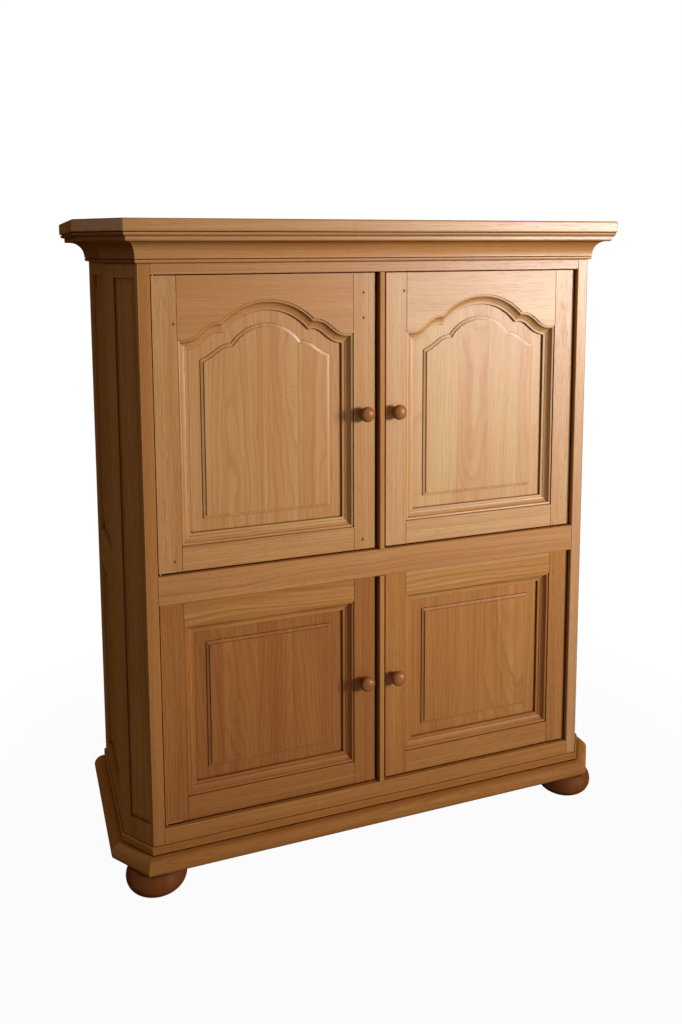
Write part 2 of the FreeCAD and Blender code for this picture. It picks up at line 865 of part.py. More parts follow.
    def knob(self):
        """A turned knob on a dowel, half way up the stile at the free edge."""
        radius = "(Sizes.knob_diameter / 2)"
        round_ = "Sizes.knob_crown_round"
        neck = "(Sizes.knob_neck / 2)"
        bulge = f"(({radius} - {neck}) ^ 2 + (Sizes.knob_widest - Sizes.knob_neck_height) ^ 2)"
        lean = "(sqrt(3) / 2)"
        crown_radius = f"(2 * ({radius} - {round_} / 2))"
        shoulder_z = f"(Sizes.knob_widest + {lean} * {round_})"
        points = [
            ("0", "-Sizes.knob_dowel_length"),
            ("Sizes.knob_dowel / 2", "-Sizes.knob_dowel_length"),
            ("Sizes.knob_dowel / 2", "0"),
            ("Sizes.knob_base / 2", "0"),
            ("Sizes.knob_base / 2", "Sizes.knob_base_height"),
            (neck, "Sizes.knob_neck_height", "Sizes.knob_neck_round", -1),
            (radius, "Sizes.knob_widest", f"{bulge} / (2 * ({radius} - {neck}))", 1),
            (f"{radius} - {round_} / 2", shoulder_z, round_, 1),
            ("0", f"{shoulder_z} + {crown_radius} * (1 - {lean})", crown_radius, 1),
        ]
        knob = turned(f"{self.stem}_knob", points)
        x = f"{DOOR_LEFT} + {DOOR_WIDTH} - Sizes.door_stile / 2"
        z = f"{self.low} + {self.height} / 2"
        forward = Rotation(Vector(1, 0, 0), 90)
        put(knob, x, DOOR_FACE, z, forward)
        bore = cylinder(
            f"{self.stem}_knob_bore", "Sizes.knob_dowel / 2", "Sizes.knob_dowel_length + 1",
            x, f"{DOOR_FACE} + Sizes.knob_dowel_length", z, forward,
        )
        return knob, bore

    def make(self):
        opening = self.opening_tool()
        knob, bore = self.knob()
        fittings, leaf_seats = make_fittings(self.stem, self.low, self.high)
        extra = {"hinge_stile": leaf_seats, "lock_stile": [bore]}
        pieces = [
            cut(f"{self.stem}_{name}", blank, [opening] + extra.get(name, []))
            for name, blank in self.members().items()
        ]
        pieces += [self.panel(), knob, fittings]
        for piece in pieces:
            keep(piece)
            keep(mirrored(piece.Label.replace(LEFT, RIGHT), piece))


# ---------------------------------------------------------------------------------------
# Canted corners and side frames
# ---------------------------------------------------------------------------------------


def fielded_panel(label, spot, rotation, half_width, low, high, sizes):
    """A board with a bevelled field. Its own -Y looks out and its origin is on the face."""
    board_y, board, tongue, margin, bevel, rise = sizes
    plate = box(
        f"{label}_board", "0", "0", "0",
        f"2 * ({half_width} + {tongue})", board, f"{high} - ({low}) + 2 * ({tongue})",
    )
    turn = rotation.toEuler()[0]
    cosine = round(math.cos(math.radians(turn)), 9)
    sine = round(math.sin(math.radians(turn)), 9)
    back_x = f"-({half_width} + {tongue})"
    put(
        plate,
        f"{spot[0]} + {cosine} * ({back_x}) - {sine} * ({board_y})",
        f"{spot[1]} + {sine} * ({back_x}) + {cosine} * ({board_y})",
        f"{low} - ({tongue})",
        rotation,
    )
    field = doc.addObject("Part::Wedge", f"{label}_field")
    field.Label = f"{label}_field"
    outer = f"({half_width} - ({margin}))"
    inner = f"({outer} - ({bevel}))"
    bounds = {
        "Xmin": f"-{inner}", "Xmax": inner, "X2min": f"-{outer}", "X2max": outer,
        "Zmin": f"{low} + {margin} + {bevel}", "Zmax": f"{high} - {margin} - {bevel}",
        "Z2min": f"{low} + {margin}", "Z2max": f"{high} - {margin}",
        "Ymin": f"{board_y} - {rise}", "Ymax": f"{board_y} + {board} / 2",
    }
    for name, expression in bounds.items():
        field.setExpression(name, expression)
    put(field, spot[0], spot[1], "0", rotation)
    return fuse(label, [plate, field])


def make_cants():
    """The canted corner boards, each with a raised panel let into its face."""
    points = [
        front_corner("0"), side_corner("0"), side_corner(f"-{THICK}"),
        front_corner(f"-{THICK}"),
    ]
    blank = prism("cant_board_blank", "XY_Plane", points, FRAME_LENGTH)
    put(blank, z=Z_FRAME)
    angle = math.degrees(math.atan2(value("Sizes.cant_depth"), value("Sizes.cant_width")))
    turn = Rotation(Vector(0, 0, 1), -angle)
    half = f"(({CANT_FACE} - Sizes.cant_front_margin - Sizes.cant_side_margin) / 2)"
    along = f"(Sizes.cant_front_margin + {half})"
    spot = (f"-({HALF} + {CANT_COS} * {along})", f"{FRONT} + {CANT_SIN} * {along}")
    low = f"({Z_FRAME} + Sizes.cant_bottom_margin)"
    high = f"({Z_CORNICE} - Sizes.side_top_reveal)"
    recess = box(
        "cant_recess", "0", "0", low, f"2 * {half}",
        "Sizes.cant_sink + 1", f"{high} - {low}",
    )
    put(
        recess,
        f"{spot[0]} - {CANT_COS} * {half} - {CANT_SIN} * 1",
        f"{spot[1]} + {CANT_SIN} * {half} - {CANT_COS} * 1",
        low,
        turn,
    )
    keep_pair("cant_board", cut("cant_board_left", blank, [recess]))
    board_y = "(Sizes.cant_sink - Sizes.cant_panel_board)"
    sizes = (
        board_y, "Sizes.cant_panel_board", "0", "Sizes.cant_panel_border",
        "Sizes.cant_panel_bevel", "Sizes.cant_panel_rise",
    )
    panel = fielded_panel("cant_panel_left", spot, turn, half, low, high, sizes)
    keep_pair("cant_panel", panel)


PIN_RADIUS = "(Sizes.shelf_pin_diameter / 2)"
PIN_PLACES = {
    "front": f"{FRONT} + Sizes.cant_depth + Sizes.shelf_pin_front",
    "back": f"{BACK} - Sizes.shelf_pin_back",
}
SHELF_LEVELS = {
    "lower": f"({Z_LOWER} + Sizes.lower_shelf)",
    "upper_one": f"({Z_UPPER} + Sizes.upper_shelf_one)",
    "upper_two": f"({Z_UPPER} + Sizes.upper_shelf_two)",
}


def make_shelf_pins():
    """Pins that carry the shelves. Returns the left ones, which also bore the frame."""
    across = Rotation(Vector(0, 1, 0), 90)
    pins = [
        cylinder(
            f"shelf_pin_{shelf}_{end}", PIN_RADIUS, "Sizes.shelf_pin_length",
            f"-{INNER_SIDE} - Sizes.shelf_pin_depth", place, f"{level} - {PIN_RADIUS}", across,
        )
        for shelf, level in SHELF_LEVELS.items()
        for end, place in PIN_PLACES.items()
    ]
    left = group("shelf_pins_left_side", pins)
    keep(group("shelf_pins", [left, mirrored("shelf_pins_right_side", left)]))
    return pins


def make_sides(pins):
    """Side frames: two stiles and three rails round an upper and a lower panel."""
    start = f"({FRONT} + Sizes.cant_depth + Sizes.side_front_stile)"
    end = f"({BACK} - Sizes.side_back_stile)"
    middle = f"({Z_LOWER_TOP} + Sizes.mid_rail / 2)"
    mid_low = f"({middle} - Sizes.side_mid_rail / 2)"
    mid_high = f"({middle} + Sizes.side_mid_rail / 2)"
    bottom_high = f"({Z_FRAME} + Sizes.side_bottom_rail)"
    top_low = f"({Z_CORNICE} - Sizes.side_top_reveal)"
    front_points = [
        side_corner("0"), (f"-{SIDE}", start), (f"-{INNER_SIDE}", start),
        side_corner(f"-{THICK}"),
    ]
    front_stile = prism("side_front_stile_blank", "XY_Plane", front_points, FRAME_LENGTH)
    put(front_stile, z=Z_FRAME)
    back_stile = box(
        "side_back_stile_blank", f"-{SIDE}", end, Z_FRAME,
        THICK, "Sizes.side_back_stile", FRAME_LENGTH,
    )
    rails = [
        box(f"side_rail_{name}", f"-{SIDE}", start, low, THICK, f"{end} - {start}",
            f"{high} - {low}")
        for name, low, high in (
            ("bottom", Z_FRAME, bottom_high),
            ("mid", mid_low, mid_high),
            ("top", top_low, Z_TOP),
        )
    ]
    windows = {"lower": (bottom_high, mid_low), "upper": (mid_high, top_low)}
    turn = Rotation(Vector(0, 0, 1), -90)
    spot = (f"-{SIDE}", f"({start} + {end}) / 2")
    half = f"(({end} - {start}) / 2)"
    sizes = (
        "Sizes.side_panel_sink", "Sizes.side_panel_board", "Sizes.side_panel_tongue",
        "Sizes.side_panel_margin", "Sizes.side_panel_bevel", "Sizes.side_panel_rise",
    )
    reach = "(Sizes.side_panel_tongue + Sizes.groove_clearance)"
    panels = []
    grooves = []
    for name, (low, high) in windows.items():
        panels.append(fielded_panel(f"side_panel_{name}", spot, turn, half, low, high, sizes))
        grooves.append(box(
            f"side_groove_{name}",
            f"-{SIDE} + Sizes.side_panel_sink", f"{start} - {reach}", f"{low} - {reach}",
            "Sizes.side_panel_board", f"{end} - {start} + 2 * {reach}",
            f"{high} - {low} + 2 * {reach}",
        ))
    stiles = group("side_stile_blanks", [front_stile, back_stile])
    keep_pair("side_stiles", cut("side_stiles_left", stiles, grooves + pins))
    keep_pair("side_rails", cut("side_rails_left", group("side_rail_blanks", rails), grooves))
    keep_pair("side_panels", group("side_panels_left", panels))


# ---------------------------------------------------------------------------------------
# Plinth, cornice and top
# ---------------------------------------------------------------------------------------


def swept_moulding(label, section):
    """A section, as (out, up) points, run round the sides, the cants and the front."""
    profile = doc.addObject("Sketcher::SketchObject", f"{label}_section")
    draw(profile, [(f"-({SIDE} + ({point[0]}))",) + tuple(point[1:]) for point in section])
    put(profile, y=BACK, rotation=Rotation(Vector(1, 0, 0), 90))
    path = doc.addObject("Sketcher::SketchObject", f"{label}_path")
    left = [back_corner("0"), side_corner("0"), front_corner("0")]
    right = [(f"-({x})", y) for x, y in reversed(left)]
    draw(path, left + right, closed=False)
    sweep = doc.addObject("Part::Sweep", f"{label}_run")
    sweep.Sections = [profile]
    sweep.Spine = (path, [f"Edge{number}" for number in range(1, 6)])
    sweep.Solid = True
    sweep.Frenet = False
    sweep.Transition = "Right corner"
    return sweep


def mitred_lengths(label, run, low, height, out):
    """Cut a run at its mitres into a front length and, each side, a cant and a side."""
    inside = f"-2 * {THICK}"
    beyond = f"({out} + 5)"

    def region(name, points):
        block = prism(f"{label}_{name}_region", "XY_Plane", points, height)
        put(block, z=low)
        piece = doc.addObject("Part::Common", f"{label}_{name}")
        piece.Base = run
        piece.Tool = block
        return piece

    def across(point):
        return (f"-({point[0]})", point[1])

    front_out, front_in = front_corner(beyond), front_corner(inside)
    side_out, side_in = side_corner(beyond), side_corner(inside)
    front = region("front", [front_out, across(front_out), across(front_in), front_in])
    front.Label = f"{label}_front"
    keep(front)
    cant = region("cant_length", [front_out, side_out, side_in, front_in])
    side = region("side_length", [
        side_out, back_corner(beyond, "5"), back_corner(inside, "5"), side_in,
    ])
    keep_pair(label, group(f"{label}_left", [cant, side]))


def make_plinth():
    """A thumb moulding under a narrow strip, with a quirk between them."""
    out = "Sizes.plinth_projection"
    strip = "Sizes.strip_projection"
    belly = "Sizes.plinth_belly"
    tuck = "Sizes.plinth_tuck"
    quirk = f"({Z_STRIP} - Sizes.plinth_quirk)"
    quirk_in = f"{strip} - Sizes.plinth_quirk_depth"
    run_in = f"({out} - {strip} - Sizes.plinth_ledge)"
    rise = f"({quirk} - Sizes.foot_height - {belly})"
    low_radius = f"({tuck} ^ 2 + {belly} ^ 2) / (2 * {tuck})"
    high_radius = f"({run_in} ^ 2 + {rise} ^ 2) / (2 * {run_in})"
    section = [
        (f"-{THICK}", "Sizes.foot_height"),
        (f"{out} - {tuck}", "Sizes.foot_height"),
        (out, f"Sizes.foot_height + {belly}", low_radius, 1),
        (f"{out} - {run_in}", quirk, high_radius, 1),
        (quirk_in, quirk),
        (quirk_in, Z_STRIP),
        (strip, Z_STRIP),
        (strip, f"{Z_FRAME} - Sizes.strip_round"),
        (f"{strip} - Sizes.strip_round", Z_FRAME, "Sizes.strip_round", 1),
        (f"-{THICK}", Z_FRAME),
    ]
    run = swept_moulding("plinth", mirror_turns(section))
    height = f"{Z_FRAME} - Sizes.foot_height + 2"
    mitred_lengths("plinth", run, "Sizes.foot_height - 1", height, out)


def make_cornice():
    bead = "Sizes.cornice_bead"
    bead_set = "Sizes.cornice_bead_set"
    cove_set = "Sizes.cornice_cove_set"
    cove = "Sizes.cornice_cove"
    step_round = "Sizes.cornice_step_round"
    cove_low = f"{Z_CORNICE} + {bead} + 1.5"
    cove_high = f"{cove_low} + {cove}"
    top_out = "Sizes.cornice_overhang - 2.5"
    step_out = f"{top_out} - Sizes.cornice_ovolo - 3"
    quirk = f"({Z_TOP} - Sizes.cornice_quirk)"
    quirk_in = f"{top_out} - Sizes.cornice_quirk_depth"
    ovolo_low = f"{quirk} - Sizes.cornice_ovolo"
    section = [
        ("0", Z_CORNICE),
        (bead_set, Z_CORNICE),
        (bead_set, f"{Z_CORNICE} + {bead}", f"{bead} / 2 + 0.2", 1),
        (cove_set, f"{Z_CORNICE} + {bead}"),
        (cove_set, cove_low),
        (f"{cove_set} + {cove}", cove_high, cove, -1),
        (f"{step_out} - {step_round}", cove_high),
        (step_out, f"{cove_high} + {step_round}", step_round, 1),
        (step_out, ovolo_low),
        (f"{step_out} + 3", ovolo_low),
        (top_out, quirk, "Sizes.cornice_ovolo", 1),
        (quirk_in, quirk),
        (quirk_in, Z_TOP),
        ("0", Z_TOP),
    ]
    run = swept_moulding("cornice", mirror_turns(section))
    mitred_lengths("cornice", run, f"{Z_CORNICE} - 1", "Sizes.cornice_height + 2", top_out)


def mirror_turns(section):
    """A section drawn outwards is mirrored when it runs to -X, so its arcs turn over."""
    return [point if len(point) == 2 else point[:3] + (-point[3],) for point in section]


def make_top_board():
    out = "Sizes.cornice_overhang"
    left = [back_corner(out), side_corner(out), front_corner(out)]
    right = [(f"-({x})", y) for x, y in reversed(left)]
    board = prism(
        "top_board", "XY_Plane", left + right, "Sizes.top_thickness",
        rounding="Sizes.top_round",
    )
    put(board, z=Z_TOP)
    keep(board)


# ---------------------------------------------------------------------------------------
# Boards, shelves and feet
# ---------------------------------------------------------------------------------------


def make_floor(label, level):
    """A board that fills the carcass behind the face frame, cut to the canted corners."""
    left = [
        (f"-{INNER_SIDE}", INNER_BACK), side_corner(f"-{THICK}"), front_corner(f"-{THICK}"),
    ]
    right = [(f"-({x})", y) for x, y in reversed(left)]
    board = prism(label, "XY_Plane", left + right, "Sizes.board_thickness")
    put(board, z=f"{level} - Sizes.board_thickness")
    keep(board)


def make_back():
    """Vertical boards with broken edges, nailed between the side frames."""
    total = SIZES["back_board_count"]
    pitch = f"(2 * {INNER_SIDE} / Sizes.back_board_count)"
    ease = "Sizes.edge_ease"
    boards = []
    for index in range(total):
        points = [
            (ease, "0"), (f"{pitch} - {ease}", "0"), (pitch, ease),
            (pitch, f"Sizes.back_thickness - {ease}"),
            (f"{pitch} - {ease}", "Sizes.back_thickness"), (ease, "Sizes.back_thickness"),
            ("0", f"Sizes.back_thickness - {ease}"), ("0", ease),
        ]
        board = prism(f"back_board_{index + 1}", "XY_Plane", points, FRAME_LENGTH)
        put(board, f"-{INNER_SIDE} + {index} * {pitch}", INNER_BACK, Z_FRAME)
        boards.append(board)
    keep(group("back_boards", boards))


def make_shelves():
    """Loose shelves that lie on the pins."""
    length = f"2 * ({INNER_SIDE} - Sizes.shelf_side_gap)"
    front = f"({FRONT} + Sizes.cant_depth + Sizes.shelf_front_gap)"
    back = f"({INNER_BACK} - Sizes.shelf_back_gap)"
    ease = "(2 * Sizes.edge_ease)"
    shelves = []
    for name, level in SHELF_LEVELS.items():
        high = f"({level} + Sizes.shelf_thickness)"
        points = [
            (back, level), (f"{front} + {ease}", level), (front, f"{level} + {ease}"),
            (front, f"{high} - {ease}"), (f"{front} + {ease}", high), (back, high),
        ]
        shelf = prism(f"shelf_{name}", "YZ_Plane", points, length)
        put(shelf, x=f"-{INNER_SIDE} + Sizes.shelf_side_gap")
        shelves.append(shelf)
    keep(group("shelves", shelves))


def make_foot_blocks():
    """Blocks in the corners of the plinth, between the feet and the bottom board."""
    height = f"{Z_LOWER} - Sizes.board_thickness - Sizes.foot_height"
    inner_x = f"-({INNER_SIDE} - Sizes.foot_block)"
    front_y = f"{FRONT} + {THICK}"
    points = [
        front_corner(f"-{THICK}"),
        (inner_x, front_y),
        (inner_x, f"{front_y} + Sizes.foot_block"),
        (f"-{INNER_SIDE}", f"{front_y} + Sizes.foot_block"),
        side_corner(f"-{THICK}"),
    ]
    front = prism("foot_block_front", "XY_Plane", points, height)
    put(front, z="Sizes.foot_height")
    back = box(
        "foot_block_back", f"-{INNER_SIDE}", f"{INNER_BACK} - Sizes.foot_block",
        "Sizes.foot_height", "Sizes.foot_block", "Sizes.foot_block", height,
    )
    left = group("foot_blocks_left_side", [front, back])
    keep(group("foot_blocks", [left, mirrored("foot_blocks_right_side", left)]))


def make_feet():
    """Four turned bun feet under the corners."""
    wide = "(Sizes.foot_diameter / 2)"
    waist = "Sizes.foot_waist"
    draw_in = "Sizes.foot_top_draw"
    over = f"(Sizes.foot_height - {waist})"
    high_radius = f"({draw_in} ^ 2 + {over} ^ 2) / (2 * {draw_in})"
    points = [
        ("0", "0"),
        (f"{wide} - {waist}", "0"),
        (wide, waist, waist, 1),
        (f"{wide} - {draw_in}", "Sizes.foot_height", high_radius, 1),
        ("0", "Sizes.foot_height"),
    ]
    front = f"{FRONT} + Sizes.foot_inset_front"
    back = f"{BACK} - Sizes.foot_inset_back"
    feet = []
    for side, sign in ((LEFT, "-1"), (RIGHT, "1")):
        for end, y in (("front", front), ("back", back)):
            foot = turned(f"foot_{end}_{side}", points)
            put(foot, f"{sign} * ({SIDE} - Sizes.foot_inset_side)", y)
            feet.append(foot)
    keep(group("bun_feet", feet))


# ---------------------------------------------------------------------------------------
# Assembly
# ---------------------------------------------------------------------------------------

plate_seats = make_fixed_plates()
make_face_stile()
make_rail("face_bottom_rail", Z_FRAME, Z_LOWER, False, True, plate_seats["bottom"])
make_rail(
    "face_mid_rail", Z_LOWER_TOP, Z_UPPER, True, True,
    plate_seats["mid_under"] + plate_seats["mid_over"],
)
make_rail("face_top_rail", Z_UPPER_TOP, Z_TOP, True, False, plate_seats["top"])
make_posts()
make_cants()
make_sides(make_shelf_pins())
make_plinth()
make_cornice()
make_top_board()
make_floor("bottom_board", Z_LOWER)
make_floor("divider_board", Z_UPPER)
make_back()
make_shelves()
make_foot_blocks()
make_feet()
make_catches()
Door("door_upper_left", Z_UPPER, "Sizes.upper_opening", arched=True).make()
Door("door_lower_left", Z_LOWER, "Sizes.lower_opening", arched=False).make()
doc.recompute()

# ---------------------------------------------------------------------------------------
# Checks and export
# ---------------------------------------------------------------------------------------

for thing in doc.Objects:
    if "Invalid" in thing.State or "Error" in thing.State:
        raise RuntimeError(f"{thing.Label} failed: {thing.State}")
for name, thing in nodes.items():
    shape = thing.Shape
    if shape.isNull() or not shape.isValid() or not shape.Solids:
        raise RuntimeError(f"{name} has no valid solid")

os.makedirs("parts", exist_ok=True)
for name, thing in nodes.items():
    thing.Shape.exportStep(os.path.join("parts", f"{name}.step"))
print(f"{len(nodes)} nodes written")
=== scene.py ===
import math
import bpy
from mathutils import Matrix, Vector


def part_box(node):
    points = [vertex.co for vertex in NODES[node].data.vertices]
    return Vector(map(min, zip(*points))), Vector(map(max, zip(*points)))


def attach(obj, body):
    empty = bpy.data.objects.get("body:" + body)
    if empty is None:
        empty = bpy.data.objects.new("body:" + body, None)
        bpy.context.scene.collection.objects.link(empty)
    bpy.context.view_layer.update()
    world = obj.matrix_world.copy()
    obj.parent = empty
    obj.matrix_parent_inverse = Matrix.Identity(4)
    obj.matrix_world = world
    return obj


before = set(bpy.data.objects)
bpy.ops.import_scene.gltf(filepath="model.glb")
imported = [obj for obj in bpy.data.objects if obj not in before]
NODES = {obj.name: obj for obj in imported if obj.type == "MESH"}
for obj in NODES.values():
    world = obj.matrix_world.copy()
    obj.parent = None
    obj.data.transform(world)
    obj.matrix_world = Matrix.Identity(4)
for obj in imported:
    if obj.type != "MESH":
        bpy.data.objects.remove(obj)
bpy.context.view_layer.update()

from fnmatch import fnmatchcase

import bmesh
import bpy
from mathutils import Matrix, Vector

# Looks of the linen press: waxed honey-brown oak on every board, with the grain along its
# length, pegs in the door joints, brass pivots, and a soft studio set.
#
# Everything is in metres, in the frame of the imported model: +Z up, the front faces -Y.

MM = 0.001

# ---------------------------------------------------------------------------------------
# Colours, linear
# ---------------------------------------------------------------------------------------

OAK_PALE = (0.558, 0.334, 0.126)
OAK_MID = (0.456, 0.194, 0.050)
OAK_DEEP = (0.295, 0.095, 0.020)
OAK_PORE = (0.150, 0.043, 0.011)
OAK_SHADOW = (0.036, 0.009, 0.003)
OAK_PEG = (0.170, 0.060, 0.017)
BRASS = (0.560, 0.380, 0.140)
BRASS_DULL = (0.330, 0.200, 0.070)
CATCH_BROWN = (0.045, 0.022, 0.010)
CATCH_WORN = (0.075, 0.040, 0.020)
FLOOR_GREY = (0.34, 0.34, 0.34)
WHITE = (1.0, 1.0, 1.0)
FILL_COLOR = (1.0, 0.84, 0.66)
KEY_COLOR = (1.0, 0.985, 0.965)

# ---------------------------------------------------------------------------------------
# Finishes: gloss (specular level) and roughness
# ---------------------------------------------------------------------------------------

BRIGHT_FINISH = (0.72, 0.45)
WAXED_FINISH = (0.50, 0.39)
SATIN_FINISH = (0.22, 0.43)
POLISHED_FINISH = (0.28, 0.36)
DULL_FINISH = (0.10, 0.50)

# Painted shade in quirks and corners: how near a neighbour has to be, how shaded a place is
# where the painted shade starts and where it is full, and how much it covers.
CREVICE_SHADE_REACH = 5 * MM
CREVICE_SHADE_FULL, CREVICE_SHADE_START = 0.40, 0.86
CREVICE_SHADE_DEPTH = 0.92

# Rubbed arrises, found in the same way from inside the wood
WEAR_REACH = 2.4 * MM
WEAR_FULL, WEAR_START = 0.25, 0.62
WEAR = 0.50

# The gloss goes from full to none between these two turns of the face from the eye.
GLOSS_FULL, GLOSS_GONE = 0.24, 0.48

GRAIN_RELIEF = 0.07 * MM
PLANING_RELIEF = 0.4 * MM
OAK_BUMP = 0.8

# Small materials: frequencies per metre, roughness from low to high, and relief
SCRATCHES = (300.0, 2500.0, 2500.0)
PATINA = 60.0
BRASS_ROUGHNESS = (0.26, 0.46)
BRASS_RELIEF = 0.02 * MM
SPARKED = 2200.0
CATCH_ROUGHNESS = (0.42, 0.58)
CATCH_RELIEF = 0.05 * MM
END_GRAIN = (1400.0, 1400.0, 1400.0)
PEG_ROUGHNESS = (0.45, 0.65)
PEG_GLOSS = 0.30
PEG_RELIEF = 0.1 * MM

# The part of a noise's range that is used
NOISE_WIDE = (0.2, 0.8)
NOISE_MOST = (0.3, 0.7)
NOISE_UPPER = (0.35, 0.7)

# ---------------------------------------------------------------------------------------
# Figure of the oak. Each pattern's frequencies are per metre across, into and along the
# board, and its swing is how far it moves the wood's depth of colour.
# ---------------------------------------------------------------------------------------

FIBRE, FIBRE_SWING = (640.0, 640.0, 13.0), 0.44
STREAK, STREAK_SWING = (230.0, 230.0, 3.2), 0.06
BAND, BAND_SWING = (42.0, 42.0, 0.8), 0.62
CLOUD, CLOUD_SWING = (9.0, 9.0, 2.0), 0.40
PORE_DASH = (420.0, 420.0, 34.0)
RAY = (240.0, 900.0, 80.0)
CURL_PATCH = (15.0, 15.0, 2.4)
CURL = (150.0, 150.0, 300.0)
BEND = (6.0, 6.0, 1.5)
WAVE = (22.0, 22.0, 9.0)
PLANING = (16.0, 16.0, 5.0)

STREAK_IN_OPEN_GRAIN = 0.75
STAVE_SWING = 0.16
YEAR_SWING = 0.26
EARLY_SWING = 0.08
EARLY_SWING_PER_METRE = 15.0   # for each metre of a year's width
# how far a node's tone, painted light included, moves the depth of colour
TONE_SWING = -0.5

# Depth of colour at which each colour is reached
DEPTH_PALE, DEPTH_MID, DEPTH_DEEP, DEPTH_PORE = 0.0, 0.5, 1.15, 2.2

PITH_ASIDE = 0.26              # the pith's range to the left and right of a stave
PITH_BEHIND = 0.030            # the nearest that it lies behind the face
PITH_RANGE = 0.10
PITH_LEAN = 0.08
FACE_FOLD = 0.5                # depth runs from 0 to this and back, the same on both sides
BEND_IN_YEARS = 8.0
WAVE_REACH = 5 * MM
UNEVEN_YEARS = 2.8
UNEVEN_FREQUENCY = 70.0
SEED_SHIFT = 7.31
TREE_SPACING = (31.0, 17.0, 23.0)
YEAR_TONE_FREQUENCY = 1.7
GLUE_CORE, GLUE_EDGE = 0.3 * MM, 1.2 * MM

# Early wood fills with the first share of a year, and fades between the next two.
EARLY_FULL = 0.12
EARLY_FADES = (0.16, 0.55)

# Where a noise starts to show as a mark, and where the mark is full
PORE_SHOWS = (0.60, 0.80)
RAY_SHOWS = (0.68, 0.78)
PATCH_SHOWS = (0.56, 0.70)
CURL_SHOWS = (0.48, 0.66)
PORES_IN_EARLY_WOOD, PORES_IN_OPEN_GRAIN = 0.07, 0.09

# How much of its colour each mark lays over the wood
RAY_COVER = 0.12
FLECK_COVER = 0.30
PORE_COVER, PORE_COVER_IN_OPEN_GRAIN = 0.08, 0.28
GLUE_COVER = 0.22

# Shares of the relief, and swings of the roughness
FIBRE_RAISED, STREAK_RAISED = 0.35, 0.2
PORE_SUNK, EARLY_SUNK = 0.4, 0.2
PORE_ROUGHER = 0.06
ROUGHNESS_SWING = 0.08

# ---------------------------------------------------------------------------------------
# Grain directions: which axis of the frame lies across, into and along each board
# ---------------------------------------------------------------------------------------

UPRIGHT = ("X", "Y", "Z")        # along Z, face to the front
SIDE_UPRIGHT = ("Y", "X", "Z")   # along Z, face to the side
LEVEL = ("Z", "Y", "X")          # along X, face to the front
FLAT = ("Y", "Z", "X")           # along X, face up
DEEP = ("Z", "X", "Y")           # along Y, face to the side
FORWARD = ("X", "Z", "Y")        # along Y, for turned pieces that point to the front

# ---------------------------------------------------------------------------------------
# Node trees
# ---------------------------------------------------------------------------------------

# Which sockets of a Mix node hold its two sources and its result
MIX_SOCKETS = {"RGBA": (6, 7, 2), "VECTOR": (4, 5, 1)}
HALF = (0.5, 0.5, 0.5)


class Tree:
    """A short way to write a node tree: every call adds a node and returns an output."""

    def __init__(self, tree):
        self.nodes = tree.nodes
        self.links = tree.links

    def add(self, kind, **settings):
        node = self.nodes.new(kind)
        for name, setting in settings.items():
            setattr(node, name, setting)
        return node

    def feed(self, socket, source):
        """Link an output to a socket, or set the socket to a plain value."""
        if isinstance(source, bpy.types.NodeSocket):
            self.links.new(source, socket)
        elif isinstance(source, (int, float)):
            socket.default_value = source
        elif len(source) == 3 and len(socket.default_value) == 4:
            socket.default_value = (*source, 1.0)
        else:
            socket.default_value = source

    def math(self, operation, first, second=None, clamp=False):
        node = self.add("ShaderNodeMath", operation=operation, use_clamp=clamp)
        self.feed(node.inputs[0], first)
        if second is not None:
            self.feed(node.inputs[1], second)
        return node.outputs[0]

    def plus(self, *terms):
        total = terms[0]
        for term in terms[1:]:
            total = self.math("ADD", total, term)
        return total

    def minus(self, first, second):
        return self.math("SUBTRACT", first, second)

    def times(self, first, second):
        return self.math("MULTIPLY", first, second)

    def centred(self, source, amount):
        """A noise of mean 0.5, as a swing about 0."""
        return self.times(self.minus(source, 0.5), amount)

    def vector(self, operation, first, second=None, scale=None):
        node = self.add("ShaderNodeVectorMath", operation=operation)
        self.feed(node.inputs[0], first)
        if second is not None:
            self.feed(node.inputs[1], second)
        if scale is not None:
            self.feed(node.inputs["Scale"], scale)
        return node.outputs["Value"] if operation == "LENGTH" else node.outputs[0]

    def stretch(self, place, factors):
        return self.vector("MULTIPLY", place, factors)

    def combine(self, x, y, z):
        node = self.add("ShaderNodeCombineXYZ")
        for socket, source in zip(node.inputs, (x, y, z)):
            self.feed(socket, source)
        return node.outputs[0]

    def separate(self, source):
        node = self.add("ShaderNodeSeparateXYZ")
        self.feed(node.inputs[0], source)
        return node.outputs

    def noise(self, place, scale=1.0, detail=2.0, roughness=0.5, output="Fac"):
        node = self.add("ShaderNodeTexNoise")
        self.feed(node.inputs["Vector"], place)
        self.feed(node.inputs["Scale"], scale)
        node.inputs["Detail"].default_value = detail
        node.inputs["Roughness"].default_value = roughness
        return node.outputs[output]

    def ramp(self, source, low, high, to_low=0.0, to_high=1.0, smooth=True):
        """Map a range of a value to another, held at its ends."""
        node = self.add("ShaderNodeMapRange", clamp=True)
        node.interpolation_type = "SMOOTHSTEP" if smooth else "LINEAR"
        for name, number in (
            ("From Min", low), ("From Max", high), ("To Min", to_low), ("To Max", to_high),
        ):
            self.feed(node.inputs[name], number)
        self.feed(node.inputs["Value"], source)
        return node.outputs["Result"]

    def mix(self, amount, first, second, kind="RGBA"):
        node = self.add("ShaderNodeMix", data_type=kind)
        node.clamp_factor = True
        first_socket, second_socket, result = MIX_SOCKETS[kind]
        self.feed(node.inputs["Factor"], amount)
        self.feed(node.inputs[first_socket], first)
        self.feed(node.inputs[second_socket], second)
        return node.outputs[result]


# ---------------------------------------------------------------------------------------
# Oak grain, for a place in the grain frame: Z along the board, Y into it, X across it
# ---------------------------------------------------------------------------------------


